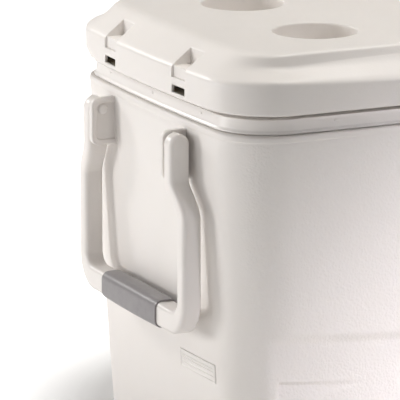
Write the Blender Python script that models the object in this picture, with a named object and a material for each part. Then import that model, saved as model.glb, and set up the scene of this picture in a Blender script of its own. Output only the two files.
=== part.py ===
"""Cooler chest: a drafted plastic body with a foam core and a liner, a hinged lid with
cup wells and strap notches, a swing handle on each end, and a screw-cap drain.

Frame: origin on the ground under the middle of the object, +X along its length,
-Y towards its front, +Z up. All sizes are in metres.
"""
import math

import bmesh
import bpy
from mathutils import Vector

# ---- driving dimensions -------------------------------------------------------------
SEAM_X, SEAM_Y = 0.331, 0.1915     # half length and half depth of the body's top seam
SEAM_Z = 0.350                     # height of the seam between the body and the rim
END_BOW, SIDE_BOW = 0.0079, 0.0020  # how far the ends and the sides swell at mid-width
DRAFT = math.tan(math.radians(3.0))
TUB_DRAFT = math.tan(math.radians(2.5))
BODY_CORNER = 0.055
GAP = 0.0004                       # clearance left between touching pieces

WALL = 0.003
SHELL_FLOOR_Z = 0.004                      # top of the shell's floor
TUB_FLOOR_Z, TUB_CHAMFER = 0.030, 0.0012   # the tub's floor and the chamfer under its edge
RIM_Z, RIM_WIDTH = 0.368, 0.027            # top of the rim band and how far in it reaches
RIM_LEDGE_Z, RIM_LEDGE_IN = 0.3646, 0.0150 # lower ledge that runs round outside it
SHOULDER_OUT, SHOULDER_Z = 0.0035, 0.345   # the shell's shoulder stands proud of the seam
RECESS_DEPTH = 0.005                       # wide recess low on the front and the back
RECESS_LOW, RECESS_HIGH = 0.030, 0.137
RECESS_FADE = 0.012

LID_OVERHANG = 0.0085
LID_Z, LID_TOP_Z = 0.370, 0.425
EDGE_Z, FOOT_Z, STEP_INSET = 0.404, 0.4095, 0.022   # skirt's edge and the step behind it
SAG_REACH, SAG_LOW_Z = 0.300, 0.3905                # where the front starts to sag
EDGE_SAG, FOOT_RISE = 0.010, 0.0065
CUP_X, CUP_Y = 0.198, 0.081
CUP_R, CUP_DEPTH = 0.042, 0.028
STRAP_Y, STRAP_HALF = 0.080, 0.014         # tie-down notches: place and half width
NOTCH_FLOOR_Z, NOTCH_DEPTH = 0.4005, 0.0205
CHANNEL_Z, CHANNEL_DEPTH = 0.3895, 0.0025  # shallow strap channel under each notch
SLOT_LOW, SLOT_HIGH = 0.3745, 0.3820

PIVOT_OUT, PIVOT_DOWN = 0.0225, 0.021      # handle pivot, from the seam's end and height
ARM_TOP_Y, ARM_LOW_Y, ARM_THICK = 0.0965, 0.1165, 0.0175
ARM_TOP_HALF, ARM_LOW_HALF = 0.0109, 0.0103
ARM_TOP_OUT, ARM_LOW_OUT = 0.0245, 0.0208  # middle of the arm, out from the seam's end
DOGLEG_START, DOGLEG_END = 0.056, 0.092    # below the seam
BAR_DOWN, BAR_HALF_Z, BAR_HALF_X = 0.1985, 0.0122, 0.0107
BAIL_BEND = 0.024
GRIP_HALF, GRIP_SKIN = 0.064, 0.0015
BRACKET_IN_Y, BRACKET_THICK = 0.0803, 0.0070
BRACKET_TOP, BRACKET_LOW, BRACKET_OUT = 0.009, 0.058, 0.0355
PIN_R, PIN_HEAD_R, PIN_BORE = 0.0040, 0.0053, 0.0043

HINGE_X = (-0.220, 0.0, 0.220)
HINGE_Y, HINGE_Z = 0.2005, 0.360           # hinge axis, Y from the plan centre
HINGE_HALF, KNUCKLE_HALF = 0.030, 0.0115
KNUCKLE_GAP, KNUCKLE_ROOM = 0.0005, 0.0052
BARREL_R, HINGE_PIN_R, HINGE_BORE = 0.0045, 0.0018, 0.0021
LEAF_THICK = 0.0025
BODY_LEAF_Y, BODY_LEAF_LOW = 0.1975, 0.320
LID_LEAF_Y, LID_LEAF_HIGH = 0.2024, 0.396
SCREW_R, SCREW_HEAD_R, SCREW_HEAD, SCREW_LONG = 0.0016, 0.0036, 0.0014, 0.010
SCREW_HOLE = 0.0019
SCREW_OFFSET, BODY_SCREW_Z, LID_SCREW_Z = 0.020, 0.334, 0.385

# The hinges stand out at the back only, so the plan's centre sits a little forward.
FRONT_REACH = SEAM_Y + LID_OVERHANG + SIDE_BOW
BACK_REACH = LID_LEAF_Y + LEAF_THICK + GAP + SCREW_HEAD
CENTRE_Y = (FRONT_REACH - BACK_REACH) / 2

DRAIN_Z, DRAIN_BORE, DRAIN_R = 0.048, 0.0075, 0.011
DRAIN_SEAT_X, DRAIN_SEAT_R = 0.3260, 0.0185
FLANGE_R, DRAIN_IN_X, DRAIN_OUT_X = 0.017, 0.2790, 0.3430
NUT_R, NUT_LOW_X, NUT_HIGH_X = 0.0138, 0.2806, 0.2855
CAP_R, CAP_BORE, CAP_IN_X, CAP_OUT_X = 0.0155, 0.0118, 0.3335, 0.3490
GASKET_THICK, FLANGE_THICK = 0.0018, 0.0030
CAP_SEAL_R, CAP_SEAL_THICK, CAP_CHAMFER = 0.0113, 0.0015, 0.0015

CORNER_STEPS = 5
LONG_STOPS = (-0.93, -0.72, -0.38, 0.0, 0.38, 0.72, 0.93)
SHORT_STOPS = (-0.5, 0.0, 0.5)

# ---- materials: base colour, roughness, metallic ------------------------------------
WHITE_BODY = ((0.84, 0.82, 0.80), 0.50, 0.0)
WHITE_GLOSS = ((0.86, 0.84, 0.82), 0.28, 0.0)
WHITE_HANDLE = ((0.85, 0.83, 0.80), 0.38, 0.0)
GREY_RUBBER = ((0.30, 0.28, 0.29), 0.62, 0.0)
FOAM_CREAM = ((0.80, 0.72, 0.50), 0.90, 0.0)
STEEL = ((0.62, 0.62, 0.63), 0.28, 1.0)
BLACK_SEAL = ((0.05, 0.05, 0.05), 0.60, 0.0)


def clear_scene():
    for thing in list(bpy.data.objects):
        bpy.data.objects.remove(thing, do_unlink=True)


def paint(thing, name, look):
    colour, roughness, metallic = look
    material = bpy.data.materials.get(name) or bpy.data.materials.new(name)
    material.use_nodes = True
    shader = material.node_tree.nodes["Principled BSDF"]
    shader.inputs["Base Color"].default_value = (*colour, 1.0)
    shader.inputs["Roughness"].default_value = roughness
    shader.inputs["Metallic"].default_value = metallic
    thing.data.materials.append(material)


# ---- mesh helpers -------------------------------------------------------------------
def add_object(name, mesh_builder, look=None, material=None, origin=(0, 0, 0)):
    """Make one object from a bmesh, with its origin moved to the given point."""
    place = Vector(origin)
    bmesh.ops.translate(mesh_builder, verts=mesh_builder.verts, vec=-place)
    mesh = bpy.data.meshes.new(name)
    mesh_builder.to_mesh(mesh)
    mesh_builder.free()
    mesh.shade_smooth()
    mesh.set_sharp_from_angle(angle=math.radians(30))
    thing = bpy.data.objects.new(name, mesh)
    thing.location = place
    bpy.context.collection.objects.link(thing)
    if look:
        paint(thing, material or name, look)
    return thing


def loft(rings, closed=False):
    """Skin a list of rings of points; the ends are capped, or joined when closed.

    Every strip is cut into triangles the same way, so a skin set inside another stays clear.
    """
    work = bmesh.new()
    rows = [[work.verts.new(point) for point in ring] for ring in rings]
    pairs = list(zip(rows, rows[1:]))
    if closed:
        pairs.append((rows[-1], rows[0]))
    for lower, upper in pairs:
        for i in range(len(lower)):
            j = (i + 1) % len(lower)
            work.faces.new((lower[i], lower[j], upper[j]))
            work.faces.new((lower[i], upper[j], upper[i]))
    if not closed:
        work.faces.new(list(reversed(rows[0])))
        work.faces.new(rows[-1])
    bmesh.ops.recalc_face_normals(work, faces=work.faces)
    return work


def box(low, high):
    work = bmesh.new()
    bmesh.ops.create_cube(work, size=1.0)
    for vert in work.verts:
        vert.co = [low[k] if vert.co[k] < 0 else high[k] for k in range(3)]
    return work


def turned(profile, centre, axis, steps=16):
    """Turn (distance along axis, radius) points about an axis through centre.

    The profile starts and ends on the axis, or is a closed outline off the axis.
    """
    sides = {"X": (Vector((1, 0, 0)), Vector((0, 1, 0)), Vector((0, 0, 1))),
             "Y": (Vector((0, 1, 0)), Vector((0, 0, 1)), Vector((1, 0, 0))),
             "Z": (Vector((0, 0, 1)), Vector((1, 0, 0)), Vector((0, 1, 0)))}
    along, across, up = sides[axis]
    work = bmesh.new()
    rows = []
    for distance, radius in profile:
        middle = Vector(centre) + along * distance
        if radius == 0:
            rows.append([work.verts.new(middle)])
            continue
        angles = [2 * math.pi * k / steps for k in range(steps)]
        rows.append([work.verts.new(middle + radius * (math.cos(a) * across + math.sin(a) * up))
                     for a in angles])
    pairs = list(zip(rows, rows[1:]))
    if len(rows[0]) > 1:
        pairs.append((rows[-1], rows[0]))
    for first, second in pairs:
        for k in range(steps):
            n = (k + 1) % steps
            corners = [first[k % len(first)], first[n % len(first)],
                       second[n % len(second)], second[k % len(second)]]
            work.faces.new(list(dict.fromkeys(corners)))
    bmesh.ops.recalc_face_normals(work, faces=work.faces)
    return work


def join(*parts):
    """Copy several bmeshes that don't touch into one."""
    whole = bmesh.new()
    for part in parts:
        mesh = bpy.data.meshes.new("part")
        part.to_mesh(mesh)
        part.free()
        whole.from_mesh(mesh)
        bpy.data.meshes.remove(mesh)
    return whole


def cutter(name, mesh_builder):
    thing = add_object(name, mesh_builder)
    thing.hide_render = True
    thing.display_type = "WIRE"
    return thing


def combine(thing, other, operation="DIFFERENCE"):
    modifier = thing.modifiers.new(other.name, "BOOLEAN")
    modifier.operation = operation
    modifier.solver = "EXACT"
    modifier.object = other


# ---- plan outlines ------------------------------------------------------------------
def bowed(x, y):
    """Swell the ends and the sides of the plan, and put it on the plan centre."""
    x_out = x + END_BOW * (1 - (y / SEAM_Y) ** 2) * (x / SEAM_X)
    y_out = y + SIDE_BOW * (1 - (x / SEAM_X) ** 2) * (y / SEAM_Y)
    return x_out, y_out + CENTRE_Y


def plan_ring(inset_x, inset_y, z, corner, relief=0.0):
    """Rounded rectangle of the seam's plan, moved in by the insets.

    relief pushes the middle stretch of the front and the back inwards.
    """
    half_x, half_y = SEAM_X - inset_x, SEAM_Y - inset_y
    reach_x, reach_y = half_x - corner, half_y - corner
    flat = []
    quarters = ((1, 1, 0), (-1, 1, 90), (-1, -1, 180), (1, -1, 270))
    for sign_x, sign_y, start in quarters:
        for step in range(CORNER_STEPS + 1):
            angle = math.radians(start + 90 * step / CORNER_STEPS)
            flat.append((sign_x * reach_x + corner * math.cos(angle),
                         sign_y * reach_y + corner * math.sin(angle)))
        if sign_x == sign_y:
            flat += [(-sign_y * stop * reach_x, sign_y * (half_y - relief))
                     for stop in LONG_STOPS]
        else:
            flat += [(sign_x * half_x, -sign_y * stop * reach_y)
                     for stop in SHORT_STOPS]
    return [(*bowed(x, y), z) for x, y in flat]


def body_inset(z):
    """Inset of the shell's drafted outside at a height."""
    return -SHOULDER_OUT + (SHOULDER_Z - z) * DRAFT


def tub_inset(z):
    """Inset of the liner's drafted inside at a height."""
    return 0.031 + (0.362 - z) * TUB_DRAFT


def end_face_x(y, z):
    """X of the shell's right end face, y from the plan centre."""
    return bowed(SEAM_X - body_inset(z), y)[0]


# ---- body ---------------------------------------------------------------------------
def make_outer_shell():
    def wall_ring(z, inset=0.0, relief=0.0):
        depth = body_inset(z) + inset
        return plan_ring(depth, depth, z, BODY_CORNER - inset, relief)

    low, high = RECESS_LOW, RECESS_HIGH
    foot = 0.004
    rings = [wall_ring(0.0, foot), wall_ring(foot), wall_ring(low - RECESS_FADE),
             wall_ring(low, relief=RECESS_DEPTH), wall_ring(high, relief=RECESS_DEPTH),
             wall_ring(high + RECESS_FADE), wall_ring(SHOULDER_Z)]
    rings += [plan_ring(-0.0028, -0.0028, 0.3485, BODY_CORNER),
              plan_ring(-0.0008, -0.0008, SEAM_Z, BODY_CORNER),
              plan_ring(0.009, 0.009, SEAM_Z, BODY_CORNER - 0.009),
              plan_ring(0.009, 0.009, SEAM_Z - WALL, BODY_CORNER - 0.009)]
    rings += [wall_ring(SHOULDER_Z - 0.001, WALL), wall_ring(high + RECESS_FADE, WALL),
              wall_ring(high, WALL, RECESS_DEPTH), wall_ring(low, WALL, RECESS_DEPTH),
              wall_ring(low - RECESS_FADE, WALL), wall_ring(SHELL_FLOOR_Z, WALL + 0.001)]
    return add_object("outer_shell", loft(rings), WHITE_BODY)


def make_body_foam():
    def wall_ring(z, relief=0.0, more=0.0):
        depth = body_inset(z) + WALL + GAP + more
        return plan_ring(depth, depth + relief, z, BODY_CORNER - WALL)

    def tub_ring(z, more=0.0):
        depth = tub_inset(z) - WALL - GAP + more
        return plan_ring(depth, depth, z, BODY_CORNER - 0.025)

    low, high = RECESS_LOW - 0.002, RECESS_HIGH + 0.002
    fade = RECESS_FADE + 0.001
    relief = RECESS_DEPTH + 0.001
    neck = 0.0095
    under_rim = RIM_LEDGE_Z - WALL - GAP - 0.0002
    tub_low = TUB_FLOOR_Z - WALL - GAP
    rings = [wall_ring(SHELL_FLOOR_Z + 0.0006, more=0.002), wall_ring(low - fade),
             wall_ring(low, relief), wall_ring(high, relief), wall_ring(high + fade),
             wall_ring(SHOULDER_Z - 0.0012),
             plan_ring(neck, neck, SEAM_Z - WALL - 0.0008, BODY_CORNER - neck),
             plan_ring(neck, neck, under_rim, BODY_CORNER - neck),
             tub_ring(under_rim), tub_ring(tub_low + TUB_CHAMFER), tub_ring(tub_low, TUB_CHAMFER)]
    return add_object("body_foam", loft(rings), FOAM_CREAM)


def make_inner_liner():
    def tub_ring(z, more=0.0, wall=0.0):
        depth = tub_inset(z) + more - wall
        return plan_ring(depth, depth, z, BODY_CORNER - 0.025)

    def rim_ring(inset, z):
        return plan_ring(inset, inset, z, BODY_CORNER - max(inset, 0.0))

    base = SEAM_Z + GAP
    under_rim, under_floor = RIM_LEDGE_Z - WALL, TUB_FLOOR_Z - WALL
    rings = [tub_ring(under_floor, TUB_CHAMFER, WALL),
             tub_ring(under_floor + TUB_CHAMFER, 0.0, WALL), tub_ring(under_rim, 0.0, WALL)]
    rings += [rim_ring(0.0090, under_rim), rim_ring(0.0064, 0.3600),
              rim_ring(0.0045, 0.3555), rim_ring(0.0030, base), rim_ring(0.0002, base),
              rim_ring(0.0002, 0.3518), rim_ring(0.0020, 0.3540), rim_ring(0.0026, 0.3620),
              rim_ring(0.0038, RIM_LEDGE_Z), rim_ring(RIM_LEDGE_IN, RIM_LEDGE_Z),
              rim_ring(RIM_LEDGE_IN + 0.0010, RIM_Z), rim_ring(RIM_WIDTH, RIM_Z)]
    rings += [tub_ring(RIM_Z - 0.0020, -0.0015), tub_ring(RIM_Z - 0.0070), tub_ring(under_floor)]
    return add_object("inner_liner", loft(rings, closed=True), WHITE_GLOSS)


def make_tub_floor():
    """The tub's floor, a slab of its own inside the foot of the tub's walls."""
    low = TUB_FLOOR_Z - WALL
    depth = tub_inset(low) + GAP
    rings = [plan_ring(depth, depth, z, BODY_CORNER - 0.025 - GAP) for z in (low, TUB_FLOOR_Z)]
    return add_object("tub_floor", loft(rings), WHITE_GLOSS)


# ---- lid ----------------------------------------------------------------------------
# (inset at the ends, inset at the sides, height) up the lid's outside, from its hem
LID_PROFILE = ((0.0008, 0.0008, 0.3700), (0.0, 0.0, 0.3715), (0.0, 0.0, 0.3955),
               (0.0010, 0.0, 0.3990), (0.0035, 0.0012, 0.4025), (0.0090, 0.0080, 0.4065),
               (0.0145, 0.0210, 0.4100), (0.0180, 0.0238, 0.4140), (0.0220, 0.0252, 0.4180),
               (0.0270, 0.0268, 0.4215), (0.0325, 0.0290, 0.4240), (0.0390, 0.0345, 0.4250))


def lid_sag(x, y, inset, z):
    """How far the lid's front drops below the profile, towards its middle.

    The skirt's upper edge drops by EDGE_SAG; the foot of the step, at STEP_INSET, rises
    by FOOT_RISE. Both fade to nothing at the plan's corners and on the step's wall.
    """
    if y > 0:
        return 0.0
    middle = max(0.0, 1 - (x / SAG_REACH) ** 2)
    share = min(inset / STEP_INSET, 1.0)
    edge = min(max((z - SAG_LOW_Z) / (EDGE_Z - SAG_LOW_Z), 0.0), 1.0) * (1 - share)
    wall = min(max((LID_TOP_Z - z) / (LID_TOP_Z - FOOT_Z), 0.0), 1.0)
    return middle * (EDGE_SAG * edge - FOOT_RISE * share * wall)


def lid_ring(inset_x, inset_y, z, skin=0.0):
    """One row of the lid's outside, or of its inside when moved in by a skin."""
    mean = (inset_x + inset_y) / 2 + skin
    corner = max(BODY_CORNER + LID_OVERHANG - 0.7 * mean, 0.03)
    ring = plan_ring(inset_x + skin - LID_OVERHANG, inset_y + skin - LID_OVERHANG, z, corner)
    return [(x, y, z - skin - lid_sag(x, y, inset_y, z)) for x, y, z in ring]


def lid_inside_rings(skin, foot):
    """The lid's outside moved in by a skin, standing on a foot below it."""
    base = plan_ring(skin - LID_OVERHANG, skin - LID_OVERHANG, foot,
                     BODY_CORNER + LID_OVERHANG - 0.7 * skin)
    return [base] + [lid_ring(*row, skin) for row in LID_PROFILE[2:3] + LID_PROFILE[4:]]


def cup_centres():
    return [(sign_x * CUP_X, sign_y * CUP_Y + CENTRE_Y)
            for sign_x in (-1, 1) for sign_y in (-1, 1)]


def cup_columns(radius, low, high, steps=24):
    rods = [turned([(low, 0), (low, radius), (high, radius), (high, 0)], (x, y, 0), "Z", steps)
            for x, y in cup_centres()]
    return join(*rods)


def strap_boxes(depth, half_width, low, high, outer=0.010):
    """Boxes at the four tie-down places, reaching in from the lid's bowed end."""
    blocks = []
    for sign_x in (-1, 1):
        for sign_y in (-1, 1):
            middle = sign_y * STRAP_Y
            face = bowed(SEAM_X + LID_OVERHANG, middle)[0]
            ends = sorted((sign_x * (face - depth), sign_x * (face + outer)))
            blocks.append(box((ends[0], middle - half_width + CENTRE_Y, low),
                              (ends[1], middle + half_width + CENTRE_Y, high)))
    return join(*blocks)


def make_lid_cavity(skin, foot, name, room=0.0):
    """Cutter or body that fills the lid's inside, clear of the wells and the notches."""
    cavity = add_object(name, loft(lid_inside_rings(skin, foot)))
    wells = cutter(name + "_wells", cup_columns(CUP_R + WALL + room,
                                                LID_TOP_Z - CUP_DEPTH - WALL - room, 0.44))
    notches = cutter(name + "_notches",
                     strap_boxes(NOTCH_DEPTH + WALL + room, STRAP_HALF + WALL + room,
                                 CHANNEL_Z - WALL - room, 0.44))
    combine(cavity, wells)
    combine(cavity, notches)
    return cavity


def make_lid_top_shell():
    shell = add_object("lid_top_shell", loft([lid_ring(*row) for row in LID_PROFILE]), WHITE_BODY)
    cavity = make_lid_cavity(WALL, LID_Z - 0.005, "lid_cavity_cut")
    cavity.hide_render = True
    cavity.display_type = "WIRE"
    combine(shell, cavity)
    combine(shell, cutter("cup_wells_cut", cup_columns(CUP_R, LID_TOP_Z - CUP_DEPTH, 0.44)))
    combine(shell, cutter("notches_cut",
                          strap_boxes(NOTCH_DEPTH, STRAP_HALF, NOTCH_FLOOR_Z, 0.44)))
    combine(shell, cutter("channels_cut",
                          strap_boxes(CHANNEL_DEPTH, STRAP_HALF - 0.0002, CHANNEL_Z,
                                      NOTCH_FLOOR_Z + 0.002)))
    combine(shell, cutter("slots_cut",
                          strap_boxes(WALL + 0.002, STRAP_HALF, SLOT_LOW, SLOT_HIGH)))
    return shell


def make_lid_foam():
    foam = make_lid_cavity(WALL + GAP, SLOT_HIGH + 0.001, "lid_foam", 0.0006)
    paint(foam, "lid_foam", FOAM_CREAM)
    return foam


def make_lid_inner_panel():
    """Panel under the lid, with a shallow plug that enters the tub's mouth."""
    edge = WALL + GAP
    plug = 0.036

    def plug_ring(inset, z):
        return plan_ring(inset, inset, z, BODY_CORNER - 0.028)

    low, high = LID_Z + 0.0002, LID_Z + 0.0030
    rings = [plug_ring(plug + 0.004, 0.3540), plug_ring(plug, 0.3580), plug_ring(plug, low),
             lid_ring(edge, edge, low), lid_ring(edge, edge, high),
             plug_ring(plug + WALL, high), plug_ring(plug + WALL, 0.3600),
             plug_ring(plug + WALL + 0.003, 0.3570)]
    return add_object("lid_inner_panel", loft(rings), WHITE_GLOSS)


# ---- handles ------------------------------------------------------------------------
def smooth_step(value):
    value = min(max(value, 0.0), 1.0)
    return value * value * (3 - 2 * value)


def section(centre, outward, half_thick, half_width, round_off):
    """Rounded rectangle: outward is the in-plane direction, X the other one."""
    points = []
    across = Vector((1, 0, 0))
    for sign_i, sign_x, start in ((1, 1, 0), (-1, 1, 90), (-1, -1, 180), (1, -1, 270)):
        for step in range(2):
            angle = math.radians(start + 90 * step)
            i = sign_i * (half_thick - round_off) + round_off * math.cos(angle)
            x = sign_x * (half_width - round_off) + round_off * math.sin(angle)
            points.append(centre + outward * i + across * x)
    return points


def bail_stations():
    """Stations down one arm: (outward X, Y, Z down, direction angle, half thick, half width)."""
    half = ARM_THICK / 2
    stations = []
    for degrees in (84, 66, 44, 22, 0):
        t = math.radians(degrees)
        stations.append((ARM_TOP_OUT, ARM_TOP_Y, PIVOT_DOWN - ARM_TOP_HALF * math.sin(t), 0.0,
                         half, ARM_TOP_HALF * math.cos(t)))
    steps = 6
    for step in range(steps + 1):
        t = step / steps
        blend = smooth_step(t)
        down = DOGLEG_START + (DOGLEG_END - DOGLEG_START) * t
        rise = 6 * t * (1 - t) * (ARM_LOW_Y - ARM_TOP_Y) / (DOGLEG_END - DOGLEG_START)
        stations.append((ARM_TOP_OUT + (ARM_LOW_OUT - ARM_TOP_OUT) * blend,
                         ARM_TOP_Y + (ARM_LOW_Y - ARM_TOP_Y) * blend, down, math.atan(rise),
                         half, ARM_TOP_HALF + (ARM_LOW_HALF - ARM_TOP_HALF) * blend))
    bend_steps = 6
    for step in range(bend_steps + 1):
        t = step / bend_steps
        angle = math.radians(90 * t)
        blend = smooth_step(t)
        stations.append((ARM_LOW_OUT, ARM_LOW_Y - BAIL_BEND * (1 - math.cos(angle)),
                         BAR_DOWN - BAIL_BEND * (1 - math.sin(angle)), -angle,
                         half + (BAR_HALF_Z - half) * blend,
                         ARM_LOW_HALF + (BAR_HALF_X - ARM_LOW_HALF) * blend))
    return stations


def make_bail(side, sign):
    """One-piece swing handle, hung from two pins; sign is the end it is on."""
    rings = []
    for half, mirror in ((bail_stations(), 1), (list(reversed(bail_stations())), -1)):
        for out, y, down, angle, thick, width in half:
            centre = Vector((sign * (SEAM_X + out), mirror * y + CENTRE_Y, SEAM_Z - down))
            outward = Vector((0, mirror * math.cos(angle), math.sin(angle)))
            rings.append(section(centre, outward, thick, width, min(0.0045, 0.85 * width)))
    bail = add_object(side + "_handle", loft(rings), WHITE_HANDLE, "handle",
                      origin=(sign * (SEAM_X + PIVOT_OUT), CENTRE_Y, SEAM_Z - PIVOT_DOWN))
    bores = []
    for mirror in (-1, 1):
        inner, depth = ARM_TOP_Y - ARM_THICK / 2, 0.0125
        start = min(mirror * (inner - 0.002), mirror * (inner + depth))
        bores.append(pivot_rod(sign, start, depth + 0.002, PIN_BORE))
    combine(bail, cutter(side + "_handle_bores_cut", join(*bores)))
    return bail


def pivot_rod(sign, start, length, radius, steps=14):
    """Rod along the handle's axis; start is its low end, from the plan centre."""
    centre = (sign * (SEAM_X + PIVOT_OUT), CENTRE_Y + start, SEAM_Z - PIVOT_DOWN)
    return turned([(0, 0), (0, radius), (length, radius), (length, 0)], centre, "Y", steps)


def make_grip(side, sign):
    """Rubber sleeve round the handle's bar."""
    centre_x, centre_z = sign * (SEAM_X + ARM_LOW_OUT), SEAM_Z - BAR_DOWN

    def ring(y, more, round_off):
        centre = Vector((centre_x, y + CENTRE_Y, centre_z))
        return section(centre, Vector((0, 0, 1)), BAR_HALF_Z + more, BAR_HALF_X + more, round_off)

    outer = GAP + GRIP_SKIN
    rings = [ring(-GRIP_HALF, outer - 0.0005, 0.0055), ring(-GRIP_HALF + 0.001, outer, 0.0055),
             ring(GRIP_HALF - 0.001, outer, 0.0055), ring(GRIP_HALF, outer - 0.0005, 0.0055),
             ring(GRIP_HALF, GAP, 0.0045), ring(-GRIP_HALF, GAP, 0.0045)]
    return add_object(side + "_grip", loft(rings, closed=True), GREY_RUBBER, "grip",
                      origin=(centre_x, CENTRE_Y, centre_z))


def make_bracket(side, sign, place, mirror):
    """Lug beside the arm, with a shallow panel on its inner face and the pin's bore."""
    top, low = SEAM_Z - BRACKET_TOP, SEAM_Z - BRACKET_LOW
    out = SEAM_X + BRACKET_OUT
    middle = BRACKET_IN_Y + BRACKET_THICK / 2

    def outline(rim, base_gap):
        corner = 0.0085 - rim * 0.7
        points = [(end_face_x(middle, low) + base_gap, low + rim)]
        for z_centre, start in ((low + rim + corner, -90), (top - rim - corner, 0)):
            for step in range(5):
                angle = math.radians(start + 90 * step / 4)
                points.append((out - rim - corner + corner * math.cos(angle),
                               z_centre + corner * math.sin(angle)))
        points.append((end_face_x(middle, top) + base_gap, top - rim))
        return points

    def slab(points, near, far):
        rings = [[(sign * x, mirror * y + CENTRE_Y, z) for x, z in points] for y in (near, far)]
        return loft(rings)

    far = BRACKET_IN_Y + BRACKET_THICK
    name = side + "_bracket_" + place
    bracket = add_object(name, slab(outline(0.0, 0.0006), BRACKET_IN_Y, far),
                         WHITE_HANDLE, "bracket")
    panel = slab(outline(0.0055, -0.004), BRACKET_IN_Y - 0.003, BRACKET_IN_Y + 0.0022)
    combine(bracket, cutter(name + "_panel_cut", panel))
    start = min(mirror * (BRACKET_IN_Y - 0.002), mirror * (far + 0.002))
    combine(bracket, cutter(name + "_bore_cut",
                            pivot_rod(sign, start, BRACKET_THICK + 0.004, PIN_BORE)))
    return bracket


def make_pivot_pin(side, sign, place, mirror):
    """Pin with a domed head on the bracket's panel; its shank ends inside the arm."""
    face = BRACKET_IN_Y + 0.0022 - GAP
    tip = ARM_TOP_Y - ARM_THICK / 2 + 0.0118
    profile = [(face - 0.0030, 0), (face - 0.0026, 0.0028), (face - 0.0014, 0.0048),
               (face, PIN_HEAD_R), (face, PIN_R), (tip, PIN_R), (tip, 0)]
    centre = (sign * (SEAM_X + PIVOT_OUT), CENTRE_Y, SEAM_Z - PIVOT_DOWN)
    turned_pin = turned([(mirror * y, r) for y, r in profile], centre, "Y", 14)
    return add_object(side + "_pivot_pin_" + place, turned_pin, WHITE_GLOSS, "pivot_pin",
                      origin=centre)


# ---- rear hinges --------------------------------------------------------------------
def barrel(x_low, x_high, radius, steps=14):
    """Rod along the hinge's axis."""
    centre = (0, HINGE_Y + CENTRE_Y, HINGE_Z)
    return turned([(x_low, 0), (x_low, radius), (x_high, radius), (x_high, 0)],
                  centre, "X", steps)


def hinge_screw_places(x):
    """X and Z of each leaf's two screws."""
    sides = (x - SCREW_OFFSET, x + SCREW_OFFSET)
    return {"body": [(side, BODY_SCREW_Z) for side in sides],
            "lid": [(side, LID_SCREW_Z) for side in sides]}


def make_leaf(name, x, y_face, plate_z, notch_z, knuckles, screws):
    """Hinge leaf: a plate, with barrels on the hinge's axis and screw holes.

    plate_z and notch_z are the (low, high) heights of the plate and of the notches that
    let the other leaf's barrels in.
    """
    y0 = y_face + CENTRE_Y
    leaf = add_object(name, box((x - HINGE_HALF, y0, plate_z[0]),
                                (x + HINGE_HALF, y0 + LEAF_THICK, plate_z[1])),
                      WHITE_GLOSS, "hinge")
    knuckle = KNUCKLE_HALF + KNUCKLE_GAP
    over = HINGE_HALF + 0.001
    if knuckles == "outer":
        spans = [(-HINGE_HALF, -knuckle), (knuckle, HINGE_HALF)]
        gaps = [(-knuckle, knuckle)]
    else:
        spans = [(-KNUCKLE_HALF, KNUCKLE_HALF)]
        gaps = [(-over, -KNUCKLE_HALF), (KNUCKLE_HALF, over)]
    notches = [box((x + a, y0 - 0.002, notch_z[0]), (x + b, y0 + LEAF_THICK + 0.002, notch_z[1]))
               for a, b in gaps]
    combine(leaf, cutter(name + "_notch_cut", join(*notches)))
    rods = [barrel(x + a, x + b, BARREL_R) for a, b in spans]
    combine(leaf, cutter(name + "_barrels", join(*rods)), "UNION")
    combine(leaf, cutter(name + "_bore_cut", barrel(x - over, x + over, HINGE_BORE, 12)))
    holes = [screw_rod(sx, sz, y0 - 0.002, LEAF_THICK + 0.004, SCREW_HOLE) for sx, sz in screws]
    combine(leaf, cutter(name + "_holes_cut", join(*holes)))
    return leaf


def screw_rod(x, z, y_low, length, radius):
    return turned([(0, 0), (0, radius), (length, radius), (length, 0)], (x, y_low, z), "Y", 10)


def make_screw(name, x, z, leaf_y):
    """Pan-head screw through a leaf into the wall behind it."""
    seat = leaf_y + LEAF_THICK + CENTRE_Y + GAP
    profile = [(-SCREW_LONG, 0), (-SCREW_LONG, SCREW_R), (0, SCREW_R), (0, SCREW_HEAD_R),
               (SCREW_HEAD * 0.55, SCREW_HEAD_R * 0.92), (SCREW_HEAD, SCREW_HEAD_R * 0.5),
               (SCREW_HEAD, 0)]
    return add_object(name, turned(profile, (x, seat, z), "Y", 10), STEEL, "steel",
                      origin=(x, seat, z))


def make_hinges():
    over = 0.006
    for word, x in zip(("left", "middle", "right"), HINGE_X):
        screws = hinge_screw_places(x)
        make_leaf("hinge_body_leaf_" + word, x, BODY_LEAF_Y, (BODY_LEAF_LOW, HINGE_Z),
                  (HINGE_Z - KNUCKLE_ROOM, HINGE_Z + over), "outer", screws["body"])
        make_leaf("hinge_lid_leaf_" + word, x, LID_LEAF_Y, (HINGE_Z, LID_LEAF_HIGH),
                  (HINGE_Z - over, HINGE_Z + KNUCKLE_ROOM), "middle", screws["lid"])
        pin = barrel(x - HINGE_HALF, x + HINGE_HALF, HINGE_PIN_R, 12)
        add_object("hinge_pin_" + word, pin, STEEL, "steel",
                   origin=(x, HINGE_Y + CENTRE_Y, HINGE_Z))
        for number, (sx, sz) in enumerate(screws["body"], 1):
            make_screw("body_screw_%s_%d" % (word, number), sx, sz, BODY_LEAF_Y)
        for number, (sx, sz) in enumerate(screws["lid"], 1):
            make_screw("lid_screw_%s_%d" % (word, number), sx, sz, LID_LEAF_Y)


def screw_holes(kind, leaf_y):
    """Cutter for the screw holes in the walls behind the leaves."""
    rods = []
    for x in HINGE_X:
        for sx, sz in hinge_screw_places(x)[kind]:
            low = leaf_y + LEAF_THICK + CENTRE_Y - SCREW_LONG - 0.001
            rods.append(screw_rod(sx, sz, low, SCREW_LONG + 0.002, SCREW_HOLE))
    return cutter(kind + "_screw_holes_cut", join(*rods))


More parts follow.
